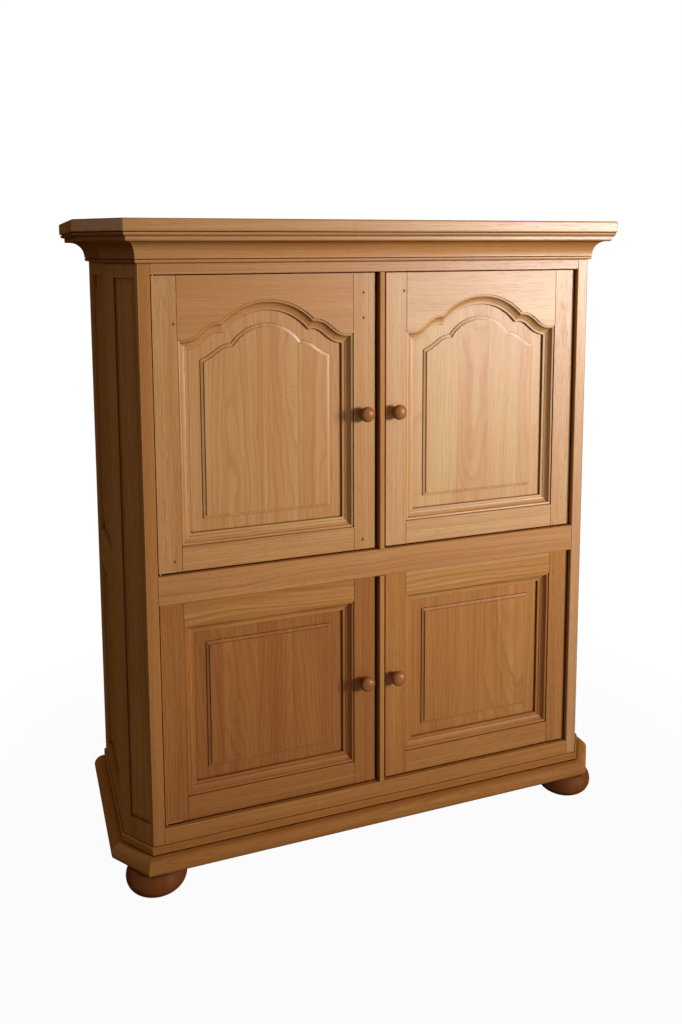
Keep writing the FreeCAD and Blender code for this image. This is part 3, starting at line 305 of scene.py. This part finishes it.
def glued_staves(t, across, seed, width):
    """The glue lines, the middle of a place's stave, and its three chance numbers."""
    shift = t.times(seed, SEED_SHIFT)
    count = t.plus(t.math("DIVIDE", across, width), shift)
    stave = t.math("FLOOR", count)
    within = t.math("FRACT", count)
    edge = t.times(t.math("MINIMUM", within, t.minus(1.0, within)), width)
    glue = t.ramp(edge, GLUE_CORE, GLUE_EDGE, 1.0, 0.0)
    middle = t.times(t.minus(t.plus(stave, 0.5), shift), width)
    chance = t.add("ShaderNodeTexWhiteNoise", noise_dimensions="2D")
    t.feed(chance.inputs["Vector"], t.combine(t.plus(stave, 0.5), seed, 0.0))
    return glue, middle, t.separate(chance.outputs["Color"])


def bent_place(t, place, spot, ring):
    """The place, pushed a little across the grain, so that no line runs dead straight."""
    bend = t.noise(t.stretch(spot, BEND), detail=2.0, output="Color")
    bend = t.stretch(t.vector("SUBTRACT", bend, HALF), (1.0, 1.0, 0.0))
    bend = t.vector("SCALE", bend, scale=t.times(ring, BEND_IN_YEARS))
    wave = t.noise(t.stretch(spot, WAVE), detail=1.0, output="Color")
    wave = t.stretch(t.vector("SUBTRACT", wave, HALF), (WAVE_REACH, WAVE_REACH, 0.0))
    return t.vector("ADD", place, t.vector("ADD", bend, wave))


def years(t, bent, middle, chances, seed, ring):
    """Rings round a pith behind the stave, which a flat-sawn face cuts into long arches.

    Returns where the early wood lies and the tone of each year.
    """
    one, two, three = chances
    bent_x, bent_y, bent_z = t.separate(bent)
    pith_x = t.centred(one, PITH_ASIDE)
    pith_y = t.plus(t.times(three, PITH_RANGE), PITH_BEHIND)
    lean = t.centred(two, PITH_LEAN)
    local_x = t.plus(t.minus(bent_x, middle), pith_x)
    folded_y = t.math("PINGPONG", bent_y, FACE_FOLD)
    local_y = t.plus(folded_y, pith_y, t.times(bent_z, lean))
    radius = t.vector("LENGTH", t.combine(local_x, local_y, 0.0))
    uneven = t.noise(t.combine(t.times(radius, UNEVEN_FREQUENCY), seed, one), detail=3.0)
    count = t.plus(t.math("DIVIDE", radius, ring), t.times(uneven, UNEVEN_YEARS))
    season = t.math("FRACT", count)
    early = t.times(t.ramp(season, 0.0, EARLY_FULL), t.ramp(season, *EARLY_FADES, 1.0, 0.0))
    one_year = t.combine(t.math("FLOOR", count), seed, 0.0)
    return early, t.noise(one_year, YEAR_TONE_FREQUENCY, detail=0.0)


def curled_flecks(t, spot):
    """Short curls, in patches where the saw ran along the rays."""
    patch = t.ramp(t.noise(t.stretch(spot, CURL_PATCH), detail=1.0), *PATCH_SHOWS)
    curl = t.noise(t.stretch(spot, CURL), detail=2.0, roughness=0.6)
    return t.times(patch, t.ramp(curl, *CURL_SHOWS))


def wood_color(t, depth):
    """From pale through middle and deep to the colour of the pores."""
    wood = t.mix(t.ramp(depth, DEPTH_PALE, DEPTH_MID, smooth=False), OAK_PALE, OAK_MID)
    wood = t.mix(t.ramp(depth, DEPTH_MID, DEPTH_DEEP, smooth=False), wood, OAK_DEEP)
    return t.mix(t.ramp(depth, DEPTH_DEEP, DEPTH_PORE, smooth=False), wood, OAK_PORE)


def grain_sockets(group):
    for name, kind in (
        ("Place", "NodeSocketVector"), ("Seed", "NodeSocketFloat"),
        ("Tone", "NodeSocketFloat"), ("Stave", "NodeSocketFloat"),
        ("Pores", "NodeSocketFloat"), ("Ring", "NodeSocketFloat"),
    ):
        group.interface.new_socket(name, in_out="INPUT", socket_type=kind)
    for name, kind in (
        ("Color", "NodeSocketColor"), ("Height", "NodeSocketFloat"),
        ("Rough", "NodeSocketFloat"),
    ):
        group.interface.new_socket(name, in_out="OUTPUT", socket_type=kind)


def grain_group():
    """Oak: years, with fibre, short pores, rays and slow changes of tone over them."""
    group = bpy.data.node_groups.new("oak_grain", "ShaderNodeTree")
    grain_sockets(group)
    t = Tree(group)
    given = t.add("NodeGroupInput").outputs
    place, seed, ring, pores = given["Place"], given["Seed"], given["Ring"], given["Pores"]
    across = t.separate(place)[0]
    glue, middle, chances = glued_staves(t, across, seed, given["Stave"])
    one, two, three = chances

    # each stave has its own place in its own tree
    numbers = zip((one, seed, two), TREE_SPACING)
    far = t.combine(*[t.times(number, spacing) for number, spacing in numbers])
    spot = t.vector("ADD", place, far)
    early, year_tone = years(t, bent_place(t, place, spot, ring), middle, chances, seed, ring)

    fibre = t.noise(t.stretch(spot, FIBRE), detail=2.0, roughness=0.6)
    streak = t.noise(t.stretch(spot, STREAK), detail=2.0, roughness=0.6)
    band = t.noise(t.stretch(spot, BAND), detail=2.0)
    cloud = t.noise(t.stretch(spot, CLOUD), detail=2.0)
    dash = t.noise(t.stretch(spot, PORE_DASH), detail=1.0)
    gate = t.plus(t.times(early, PORES_IN_EARLY_WOOD), t.times(pores, PORES_IN_OPEN_GRAIN))
    pore = t.ramp(t.plus(dash, gate), *PORE_SHOWS)
    ray = t.ramp(t.noise(t.stretch(spot, RAY), detail=1.0), *RAY_SHOWS)
    fleck = curled_flecks(t, spot)

    streak_swing = t.plus(t.times(pores, STREAK_IN_OPEN_GRAIN), STREAK_SWING)
    early_swing = t.plus(EARLY_SWING, t.times(ring, EARLY_SWING_PER_METRE))
    depth = t.plus(
        DEPTH_MID,
        t.times(t.minus(streak, 0.5), streak_swing), t.centred(band, BAND_SWING),
        t.centred(cloud, CLOUD_SWING), t.centred(fibre, FIBRE_SWING),
        t.centred(year_tone, YEAR_SWING), t.times(early, early_swing),
        t.centred(three, STAVE_SWING), t.times(given["Tone"], TONE_SWING),
    )
    wood = t.mix(t.times(ray, RAY_COVER), wood_color(t, depth), OAK_PALE)
    wood = t.mix(t.times(fleck, FLECK_COVER), wood, OAK_DEEP)
    pore_cover = t.plus(PORE_COVER, t.times(pores, PORE_COVER_IN_OPEN_GRAIN))
    wood = t.mix(t.times(pore, pore_cover), wood, OAK_PORE)
    wood = t.mix(t.times(glue, GLUE_COVER), wood, OAK_PORE)

    raised = t.plus(t.times(fibre, FIBRE_RAISED), t.times(streak, STREAK_RAISED))
    height = t.minus(t.minus(raised, t.times(pore, PORE_SUNK)), t.times(early, EARLY_SUNK))
    rough = t.plus(
        t.times(pore, PORE_ROUGHER), t.centred(fibre, ROUGHNESS_SWING),
        t.centred(cloud, ROUGHNESS_SWING),
    )

    result = t.add("NodeGroupOutput")
    t.feed(result.inputs["Color"], wood)
    t.feed(result.inputs["Height"], height)
    t.feed(result.inputs["Rough"], rough)
    return group


OAK_GRAIN = grain_group()

# ---------------------------------------------------------------------------------------
# Places in the grain frame
# ---------------------------------------------------------------------------------------

CANT_LOW, CANT_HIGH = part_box("cant_board_right")
FRONT_CORNER = Vector((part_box("face_stile_right")[1].x, CANT_LOW.y))
SIDE_STILE_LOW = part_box("side_stiles_right")[0]
SIDE_X = CANT_HIGH.x
# The side's stiles are cut to the mitre at the cant, so their front line is its far end.
CANT_END = Vector((SIDE_X, SIDE_STILE_LOW.y))
CANT_ALONG = Vector((SIDE_X - FRONT_CORNER.x, CANT_END.y - FRONT_CORNER.y)).normalized()
CANT_MITRE = (1.0 - CANT_ALONG.y) / CANT_ALONG.x


def object_place(t):
    return t.add("ShaderNodeTexCoord").outputs["Object"]


def grain_place(t, direction):
    """Object coordinates, turned so that Z runs along the board."""
    by_name = dict(zip("XYZ", t.separate(object_place(t))))
    return t.combine(*[by_name[axis] for axis in direction])


def mitred_place(t, side_sign):
    """Grain along the run of a moulding: along Y on the side, along the cant on the cant."""
    x, y, z = t.separate(object_place(t))
    out = t.times(x, side_sign)
    run = t.plus(t.times(y, CANT_ALONG.y), t.times(out, CANT_ALONG.x))
    away = t.minus(t.times(out, CANT_ALONG.y), t.times(y, CANT_ALONG.x))
    from_mitre = t.plus(
        t.minus(y, CANT_END.y), t.times(t.minus(out, CANT_END.x), CANT_MITRE),
    )
    on_side = t.math("GREATER_THAN", from_mitre, 0.0)
    return t.mix(on_side, t.combine(z, away, run), t.combine(z, out, y), "VECTOR")


# ---------------------------------------------------------------------------------------
# Materials
# ---------------------------------------------------------------------------------------


def new_material(name):
    material = bpy.data.materials.new(name)
    material.use_nodes = True
    t = Tree(material.node_tree)
    t.nodes.clear()
    shader = t.add("ShaderNodeBsdfPrincipled")
    output = t.add("ShaderNodeOutputMaterial")
    t.feed(output.inputs["Surface"], shader.outputs[0])
    return material, t, shader


def bumped(t, shader, height, strength=1.0):
    """Feed a height in metres to the shader's normal."""
    bump = t.add("ShaderNodeBump")
    bump.inputs["Strength"].default_value = strength
    bump.inputs["Distance"].default_value = 1.0
    t.feed(bump.inputs["Height"], height)
    t.feed(shader.inputs["Normal"], bump.outputs[0])


def occlusion(t, reach, **settings):
    """How open a place is, out to a distance: 0 closed in, 1 open."""
    node = t.add("ShaderNodeAmbientOcclusion", **settings)
    node.inputs["Distance"].default_value = reach
    return node.outputs["AO"]


def oak(name, place, seed, tone, stave, finish, pores, ring):
    """Waxed oak. Shade is painted dark into quirks and corners, where the gloss is taken away
    too, arrises are rubbed pale, and the wax, lying over open fibre, loses its gloss where
    the face turns away.
    """
    gloss, roughness = finish
    material, t, shader = new_material(name)
    spot = place(t)
    grain = t.add("ShaderNodeGroup", node_tree=OAK_GRAIN)
    for socket, source in (
        ("Place", spot), ("Seed", seed), ("Tone", tone), ("Stave", stave),
        ("Pores", pores), ("Ring", ring),
    ):
        t.feed(grain.inputs[socket], source)
    # painted shade: quirks and corners, found by ambient occlusion, darken towards OAK_SHADOW
    # and lose their gloss
    hidden = occlusion(t, CREVICE_SHADE_REACH, samples=6, only_local=False)
    painted_crevice_shade = t.ramp(hidden, CREVICE_SHADE_FULL, CREVICE_SHADE_START, CREVICE_SHADE_DEPTH, 0.0)
    proud = occlusion(t, WEAR_REACH, samples=4, inside=True, only_local=True)
    worn = t.ramp(proud, WEAR_FULL, WEAR_START, WEAR, 0.0)
    color = t.mix(worn, grain.outputs["Color"], OAK_PALE)
    color = t.mix(painted_crevice_shade, color, OAK_SHADOW)
    t.feed(shader.inputs["Base Color"], color)
    t.feed(shader.inputs["Roughness"], t.plus(grain.outputs["Rough"], roughness))
    weight = t.add("ShaderNodeLayerWeight")
    weight.inputs["Blend"].default_value = 0.5
    open_face = t.ramp(weight.outputs["Facing"], GLOSS_FULL, GLOSS_GONE, gloss, 0.0)
    t.feed(shader.inputs["Specular IOR Level"], t.times(open_face, t.minus(1.0, painted_crevice_shade)))
    planing = t.noise(t.stretch(spot, PLANING), detail=1.0)
    bumped(t, shader, t.plus(
        t.times(grain.outputs["Height"], GRAIN_RELIEF), t.times(planing, PLANING_RELIEF),
    ), OAK_BUMP)
    return material


def brass(name):
    """Drawn brass, a little dull, with fine scratches."""
    material, t, shader = new_material(name)
    spot = object_place(t)
    scratch = t.noise(t.stretch(spot, SCRATCHES), detail=2.0)
    patina = t.noise(spot, PATINA, detail=3.0)
    color = t.mix(t.ramp(patina, *NOISE_UPPER), BRASS, BRASS_DULL)
    t.feed(shader.inputs["Base Color"], color)
    t.feed(shader.inputs["Roughness"], t.ramp(scratch, *NOISE_WIDE, *BRASS_ROUGHNESS))
    shader.inputs["Metallic"].default_value = 1.0
    bumped(t, shader, t.times(scratch, BRASS_RELIEF))
    return material


def catch_plastic(name):
    """Moulded brown catch body with a fine spark-eroded texture."""
    material, t, shader = new_material(name)
    texture = t.noise(object_place(t), SPARKED, detail=2.0)
    t.feed(shader.inputs["Base Color"], t.mix(texture, CATCH_BROWN, CATCH_WORN))
    t.feed(shader.inputs["Roughness"], t.ramp(texture, *NOISE_MOST, *CATCH_ROUGHNESS))
    bumped(t, shader, t.times(texture, CATCH_RELIEF))
    return material


def peg_wood():
    """End grain, darker than the face of the boards."""
    material, t, shader = new_material("oak_pegs")
    spot = object_place(t)
    ends = t.noise(t.stretch(spot, END_GRAIN), detail=2.0)
    t.feed(shader.inputs["Base Color"], t.mix(t.ramp(ends, *NOISE_UPPER), OAK_PEG, OAK_PORE))
    t.feed(shader.inputs["Roughness"], t.ramp(ends, *NOISE_MOST, *PEG_ROUGHNESS))
    shader.inputs["Specular IOR Level"].default_value = PEG_GLOSS
    bumped(t, shader, t.times(ends, PEG_RELIEF))
    return material


# ---------------------------------------------------------------------------------------
# What each node of the model is made like. The first pattern that fits its name counts.
# ---------------------------------------------------------------------------------------

DIRECTIONS = (
    ("*_knob", FORWARD),
    ("*_rail", LEVEL), ("cornice_front", LEVEL), ("plinth_front", LEVEL),
    ("top_board", FLAT), ("bottom_board", FLAT), ("divider_board", FLAT), ("shelves", FLAT),
    ("side_rails*", DEEP),
    ("side_stiles*", SIDE_UPRIGHT), ("side_panels*", SIDE_UPRIGHT),
    ("*", UPRIGHT),
)

# Widths of the glued-up staves. A single board gets one stave, wider than any of them.
PANEL_STAVE = 86 * MM
SIDE_STAVE = 105 * MM
BOARD_STAVE = 118 * MM
ONE_BOARD = 4.0
BACK_BOARDS = 8
STAVES = (
    ("door_*_panel", PANEL_STAVE), ("side_panels*", SIDE_STAVE),
    ("top_board", BOARD_STAVE), ("bottom_board", BOARD_STAVE),
    ("divider_board", BOARD_STAVE), ("shelves", BOARD_STAVE),
    ("*", ONE_BOARD),
)

# The wax shines most on the boards that are most handled and dusted.
FINISHES = (
    ("*_knob", POLISHED_FINISH),
    ("cant_*", DULL_FINISH), ("side_*", DULL_FINISH), ("bun_*", DULL_FINISH),
    ("cornice_left", DULL_FINISH), ("cornice_right", DULL_FINISH), ("plinth*", DULL_FINISH),
    ("*_lower_*", SATIN_FINISH), ("face_bottom_rail", SATIN_FINISH),
    ("centre_posts", SATIN_FINISH), ("face_stile_left", SATIN_FINISH),
    ("*_upper_right_*", BRIGHT_FINISH), ("face_stile_right", BRIGHT_FINISH),
    ("*", WAXED_FINISH),
)

# How much paler than the middle tone a node is. This is partly the wood's own tone and partly
# painted light: the upper right boards and the right face stile are painted paler where the
# lamp falls, and the lower left boards, the feet and the cornice's ends darker, where shade
# falls.
# Boards differ a little from that, apart from the nodes in the second list.
TONES_AND_PAINTED_LIGHT = (
    ("bun_feet", -2.4), ("*_knob", -0.9), ("back_boards", 0.6),
    ("cornice_left", -0.9), ("cornice_right", -0.9),
    ("cant_*", 0.05), ("side_*", 0.05),
    ("door_lower_right_top_rail", 0.45), ("door_lower_left_top_rail", 0.10),
    ("*_lower_left_*", -0.75), ("*_lower_right_*", -0.12), ("plinth*", -0.12),
    ("*_upper_right_*", 0.55), ("face_stile_right", 0.55), ("face_*", -0.10),
    ("*", 0.20),
)
ONE_TONE = ("bun_feet", "*_knob", "back_boards")
BOARD_TONE_SWING = 0.06
BOARD_TONE_TURN = 2.4

# How open the grain is, and how wide the years are
FIGURES = (
    ("*_panel", (0.20, 4.5 * MM)), ("door_upper_*_top_rail", (0.20, 4.5 * MM)),
    ("face_mid_rail", (0.40, 13.0 * MM)), ("door_lower_*_top_rail", (0.40, 13.0 * MM)),
    ("*_rail", (0.55, 6.0 * MM)), ("*_hinge_stile", (0.75, 3.6 * MM)),
    ("*", (0.50, 3.6 * MM)),
)

# Mouldings that run along the cant and on along the side
MITRED = ("cornice_left", "cornice_right", "plinth_left", "plinth_right")
METALS = ("*_fittings", "hinge_plates", "shelf_pins")

FIRST_SEED = 0.37
GOLDEN_STEP = 0.6180339887     # spreads the seeds evenly over one unit


def fits(name, patterns):
    return any(fnmatchcase(name, pattern) for pattern in patterns)


def pick(rules, name):
    """The value of the first rule whose pattern fits a name."""
    return next(value for pattern, value in rules if fnmatchcase(name, pattern))


def stave_of(name):
    if name == "back_boards":
        return (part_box(name)[1].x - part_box(name)[0].x) / BACK_BOARDS
    return pick(STAVES, name)


def tone_and_painted_light_of(name, index):
    # the table's tone holds painted light as well as the board's own tone
    tone = pick(TONES_AND_PAINTED_LIGHT, name)
    if fits(name, ONE_TONE):
        return tone
    return tone + BOARD_TONE_SWING * math.sin(index * BOARD_TONE_TURN)


def place_of(name):
    """The function that adds the nodes of a board's grain frame."""
    if fits(name, MITRED):
        side_sign = 1.0 if name.endswith("right") else -1.0
        return lambda t: mitred_place(t, side_sign)
    return lambda t: grain_place(t, pick(DIRECTIONS, name))


def material_of(name, index):
    if fits(name, METALS):
        return brass(f"brass_{name}")
    if name == "door_catches":
        return catch_plastic(f"plastic_{name}")
    seed = FIRST_SEED + (index * GOLDEN_STEP) % 1.0
    return oak(
        f"oak_{name}", place_of(name), seed, tone_and_painted_light_of(name, index), stave_of(name),
        pick(FINISHES, name), *pick(FIGURES, name),
    )


for index, name in enumerate(sorted(NODES)):
    material = material_of(name, index)
    for slot in NODES[name].material_slots:
        slot.material = material

# ---------------------------------------------------------------------------------------
# Pegs through the door joints
# ---------------------------------------------------------------------------------------

PEG_RADIUS = 3.1 * MM
PEG_PROUD = 0.35 * MM
PEG_SIDES = 20
PEG_TALLER = 1.12
PEG_LOBES = 3
PEG_UNEVEN = 0.06
# share of the radius, and share of how proud the peg stands, from the middle out
PEG_RINGS = ((0.0, 1.0), (0.55, 0.93), (0.85, 0.70), (1.0, 0.42), (1.04, 0.0))
# x and z of the pegs in each door
PEGS = {
    "door_upper_left": (
        (-0.497, 1.334), (-0.507, 0.791), (-0.044, 1.395), (-0.044, 1.335), (-0.047, 0.790),
    ),
    "door_upper_right": ((0.062, 1.397),),
}


def peg_mesh(name, number, x, z, face):
    """The domed end of a riven peg, a little out of round, just proud of the stile."""
    shape = bmesh.new()
    rings = []
    for share, rise in PEG_RINGS[1:]:
        ring = []
        for side in range(PEG_SIDES):
            angle = 2 * math.pi * side / PEG_SIDES
            uneven = 1 + PEG_UNEVEN * math.sin(PEG_LOBES * angle + number)
            reach = PEG_RADIUS * share * uneven
            ring.append(shape.verts.new((
                x + reach * math.cos(angle), face - PEG_PROUD * rise,
                z + PEG_TALLER * reach * math.sin(angle),
            )))
        rings.append(ring)
    top = shape.verts.new((x, face - PEG_PROUD * PEG_RINGS[0][1], z))
    for side in range(PEG_SIDES):
        following = (side + 1) % PEG_SIDES
        shape.faces.new((top, rings[0][side], rings[0][following]))
        for inner, outer in zip(rings, rings[1:]):
            shape.faces.new((inner[side], outer[side], outer[following], inner[following]))
    bmesh.ops.recalc_face_normals(shape, faces=shape.faces)
    mesh = bpy.data.meshes.new(name)
    shape.to_mesh(mesh)
    shape.free()
    for polygon in mesh.polygons:
        polygon.use_smooth = True
    return mesh


def add_object(name, data):
    piece = bpy.data.objects.new(name, data)
    bpy.context.scene.collection.objects.link(piece)
    return piece


def add_pegs(body, places, material):
    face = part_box(f"{body}_lock_stile")[0].y
    for number, (x, z) in enumerate(places, 1):
        name = f"{body}_peg_{number}"
        mesh = peg_mesh(name, number, x, z, face)
        mesh.materials.append(material)
        piece = add_object(name, mesh)
        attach(piece, body)


PEG_WOOD = peg_wood()
for body, places in PEGS.items():
    add_pegs(body, places, PEG_WOOD)

# ---------------------------------------------------------------------------------------
# Set: floor, light and camera
# ---------------------------------------------------------------------------------------

FLOOR_HALF = 30.0
FLOOR_NEAR, FLOOR_FAR = 0.7, 1.5     # the floor's shadow fades out between these two
FLOOR_GLOW = 0.96
FLOOR_ROUGHNESS = 0.9
FLOOR_GLOSS = 0.1
FILL_STRENGTH = 0.21

KEY_PLACE = (3.35, -3.90, 1.76)
KEY_TARGET = (0.49, -0.20, 1.34)
KEY_SIZE = (1.2, 1.2)
KEY_POWER = 22.5
KEY_SPREAD = math.radians(48.0)

CAMERA_PLACE = (-0.8504, -2.2128, 1.4969)
CAMERA_AZIMUTH = 20.327
CAMERA_PITCH = 6.606
CAMERA_ROLL = -0.227
IMAGE_HEIGHT = 1024
FOCAL_PIXELS = 913.7
AXIS_ABOVE_MIDDLE = 156.8            # optical axis above the middle of the image, in pixels
SENSOR = 36.0


def seen_directly(t):
    """1 for what the camera sees straight, in gloss or through glass, and 0 for light."""
    path = t.add("ShaderNodeLightPath").outputs
    total = t.plus(path["Is Camera Ray"], path["Is Glossy Ray"])
    return t.math("ADD", total, path["Is Transmission Ray"], clamp=True)


def make_floor():
    """A pale floor that keeps the object's shadow and runs out into plain white."""
    mesh = bpy.data.meshes.new("studio_floor")
    corners = [
        (x * FLOOR_HALF, y * FLOOR_HALF, 0) for x, y in ((-1, -1), (1, -1), (1, 1), (-1, 1))
    ]
    mesh.from_pydata(corners, [], [(0, 1, 2, 3)])
    floor = add_object("studio_floor", mesh)
    material, t, shader = new_material("studio_floor")
    t.feed(shader.inputs["Base Color"], FLOOR_GREY)
    shader.inputs["Roughness"].default_value = FLOOR_ROUGHNESS
    shader.inputs["Specular IOR Level"].default_value = FLOOR_GLOSS
    away = t.vector("LENGTH", object_place(t))
    white = t.ramp(away, FLOOR_NEAR, FLOOR_FAR, FLOOR_GLOW, 1.0)
    glow = t.add("ShaderNodeEmission")
    mix = t.add("ShaderNodeMixShader")
    t.feed(mix.inputs[0], t.times(seen_directly(t), white))
    t.feed(mix.inputs[1], shader.outputs[0])
    t.feed(mix.inputs[2], glow.outputs[0])
    t.feed(t.nodes["Material Output"].inputs["Surface"], mix.outputs[0])
    mesh.materials.append(material)


def background(t, color, strength):
    node = t.add("ShaderNodeBackground")
    t.feed(node.inputs["Color"], color)
    node.inputs["Strength"].default_value = strength
    return node.outputs[0]


def make_world():
    """White where the camera looks, and a dim warm fill on the object."""
    world = bpy.data.worlds.new("studio")
    bpy.context.scene.world = world
    world.use_nodes = True
    t = Tree(world.node_tree)
    t.nodes.clear()
    choice = t.add("ShaderNodeMixShader")
    t.feed(choice.inputs[0], seen_directly(t))
    t.feed(choice.inputs[1], background(t, FILL_COLOR, FILL_STRENGTH))
    t.feed(choice.inputs[2], background(t, WHITE, 1.0))
    t.feed(t.add("ShaderNodeOutputWorld").inputs["Surface"], choice.outputs[0])


def make_key():
    """One soft rectangular lamp, in front of the cabinet's right."""
    light = bpy.data.lights.new("key", "AREA")
    light.shape = "RECTANGLE"
    light.size, light.size_y = KEY_SIZE
    light.energy = KEY_POWER
    light.color = KEY_COLOR
    light.spread = KEY_SPREAD
    lamp = add_object("key", light)
    lamp.location = KEY_PLACE
    aim = Vector(KEY_TARGET) - Vector(KEY_PLACE)
    lamp.rotation_euler = aim.to_track_quat("-Z", "Y").to_euler()


def make_camera():
    """The photograph's view: from the front left, at chest height, looking a little down."""
    camera_data = bpy.data.cameras.new("camera")
    camera_data.sensor_width = SENSOR
    camera_data.lens = SENSOR * FOCAL_PIXELS / IMAGE_HEIGHT
    camera_data.shift_y = -AXIS_ABOVE_MIDDLE / IMAGE_HEIGHT
    camera = add_object("camera", camera_data)
    turn = Matrix.Rotation(math.radians(-CAMERA_AZIMUTH), 4, "Z")
    tip = Matrix.Rotation(math.radians(90.0 - CAMERA_PITCH), 4, "X")
    bank = Matrix.Rotation(math.radians(CAMERA_ROLL), 4, "Z")
    camera.matrix_world = Matrix.Translation(CAMERA_PLACE) @ turn @ tip @ bank
    bpy.context.scene.camera = camera


make_floor()
make_world()
make_key()
make_camera()
bpy.context.scene.view_settings.view_transform = "Standard"
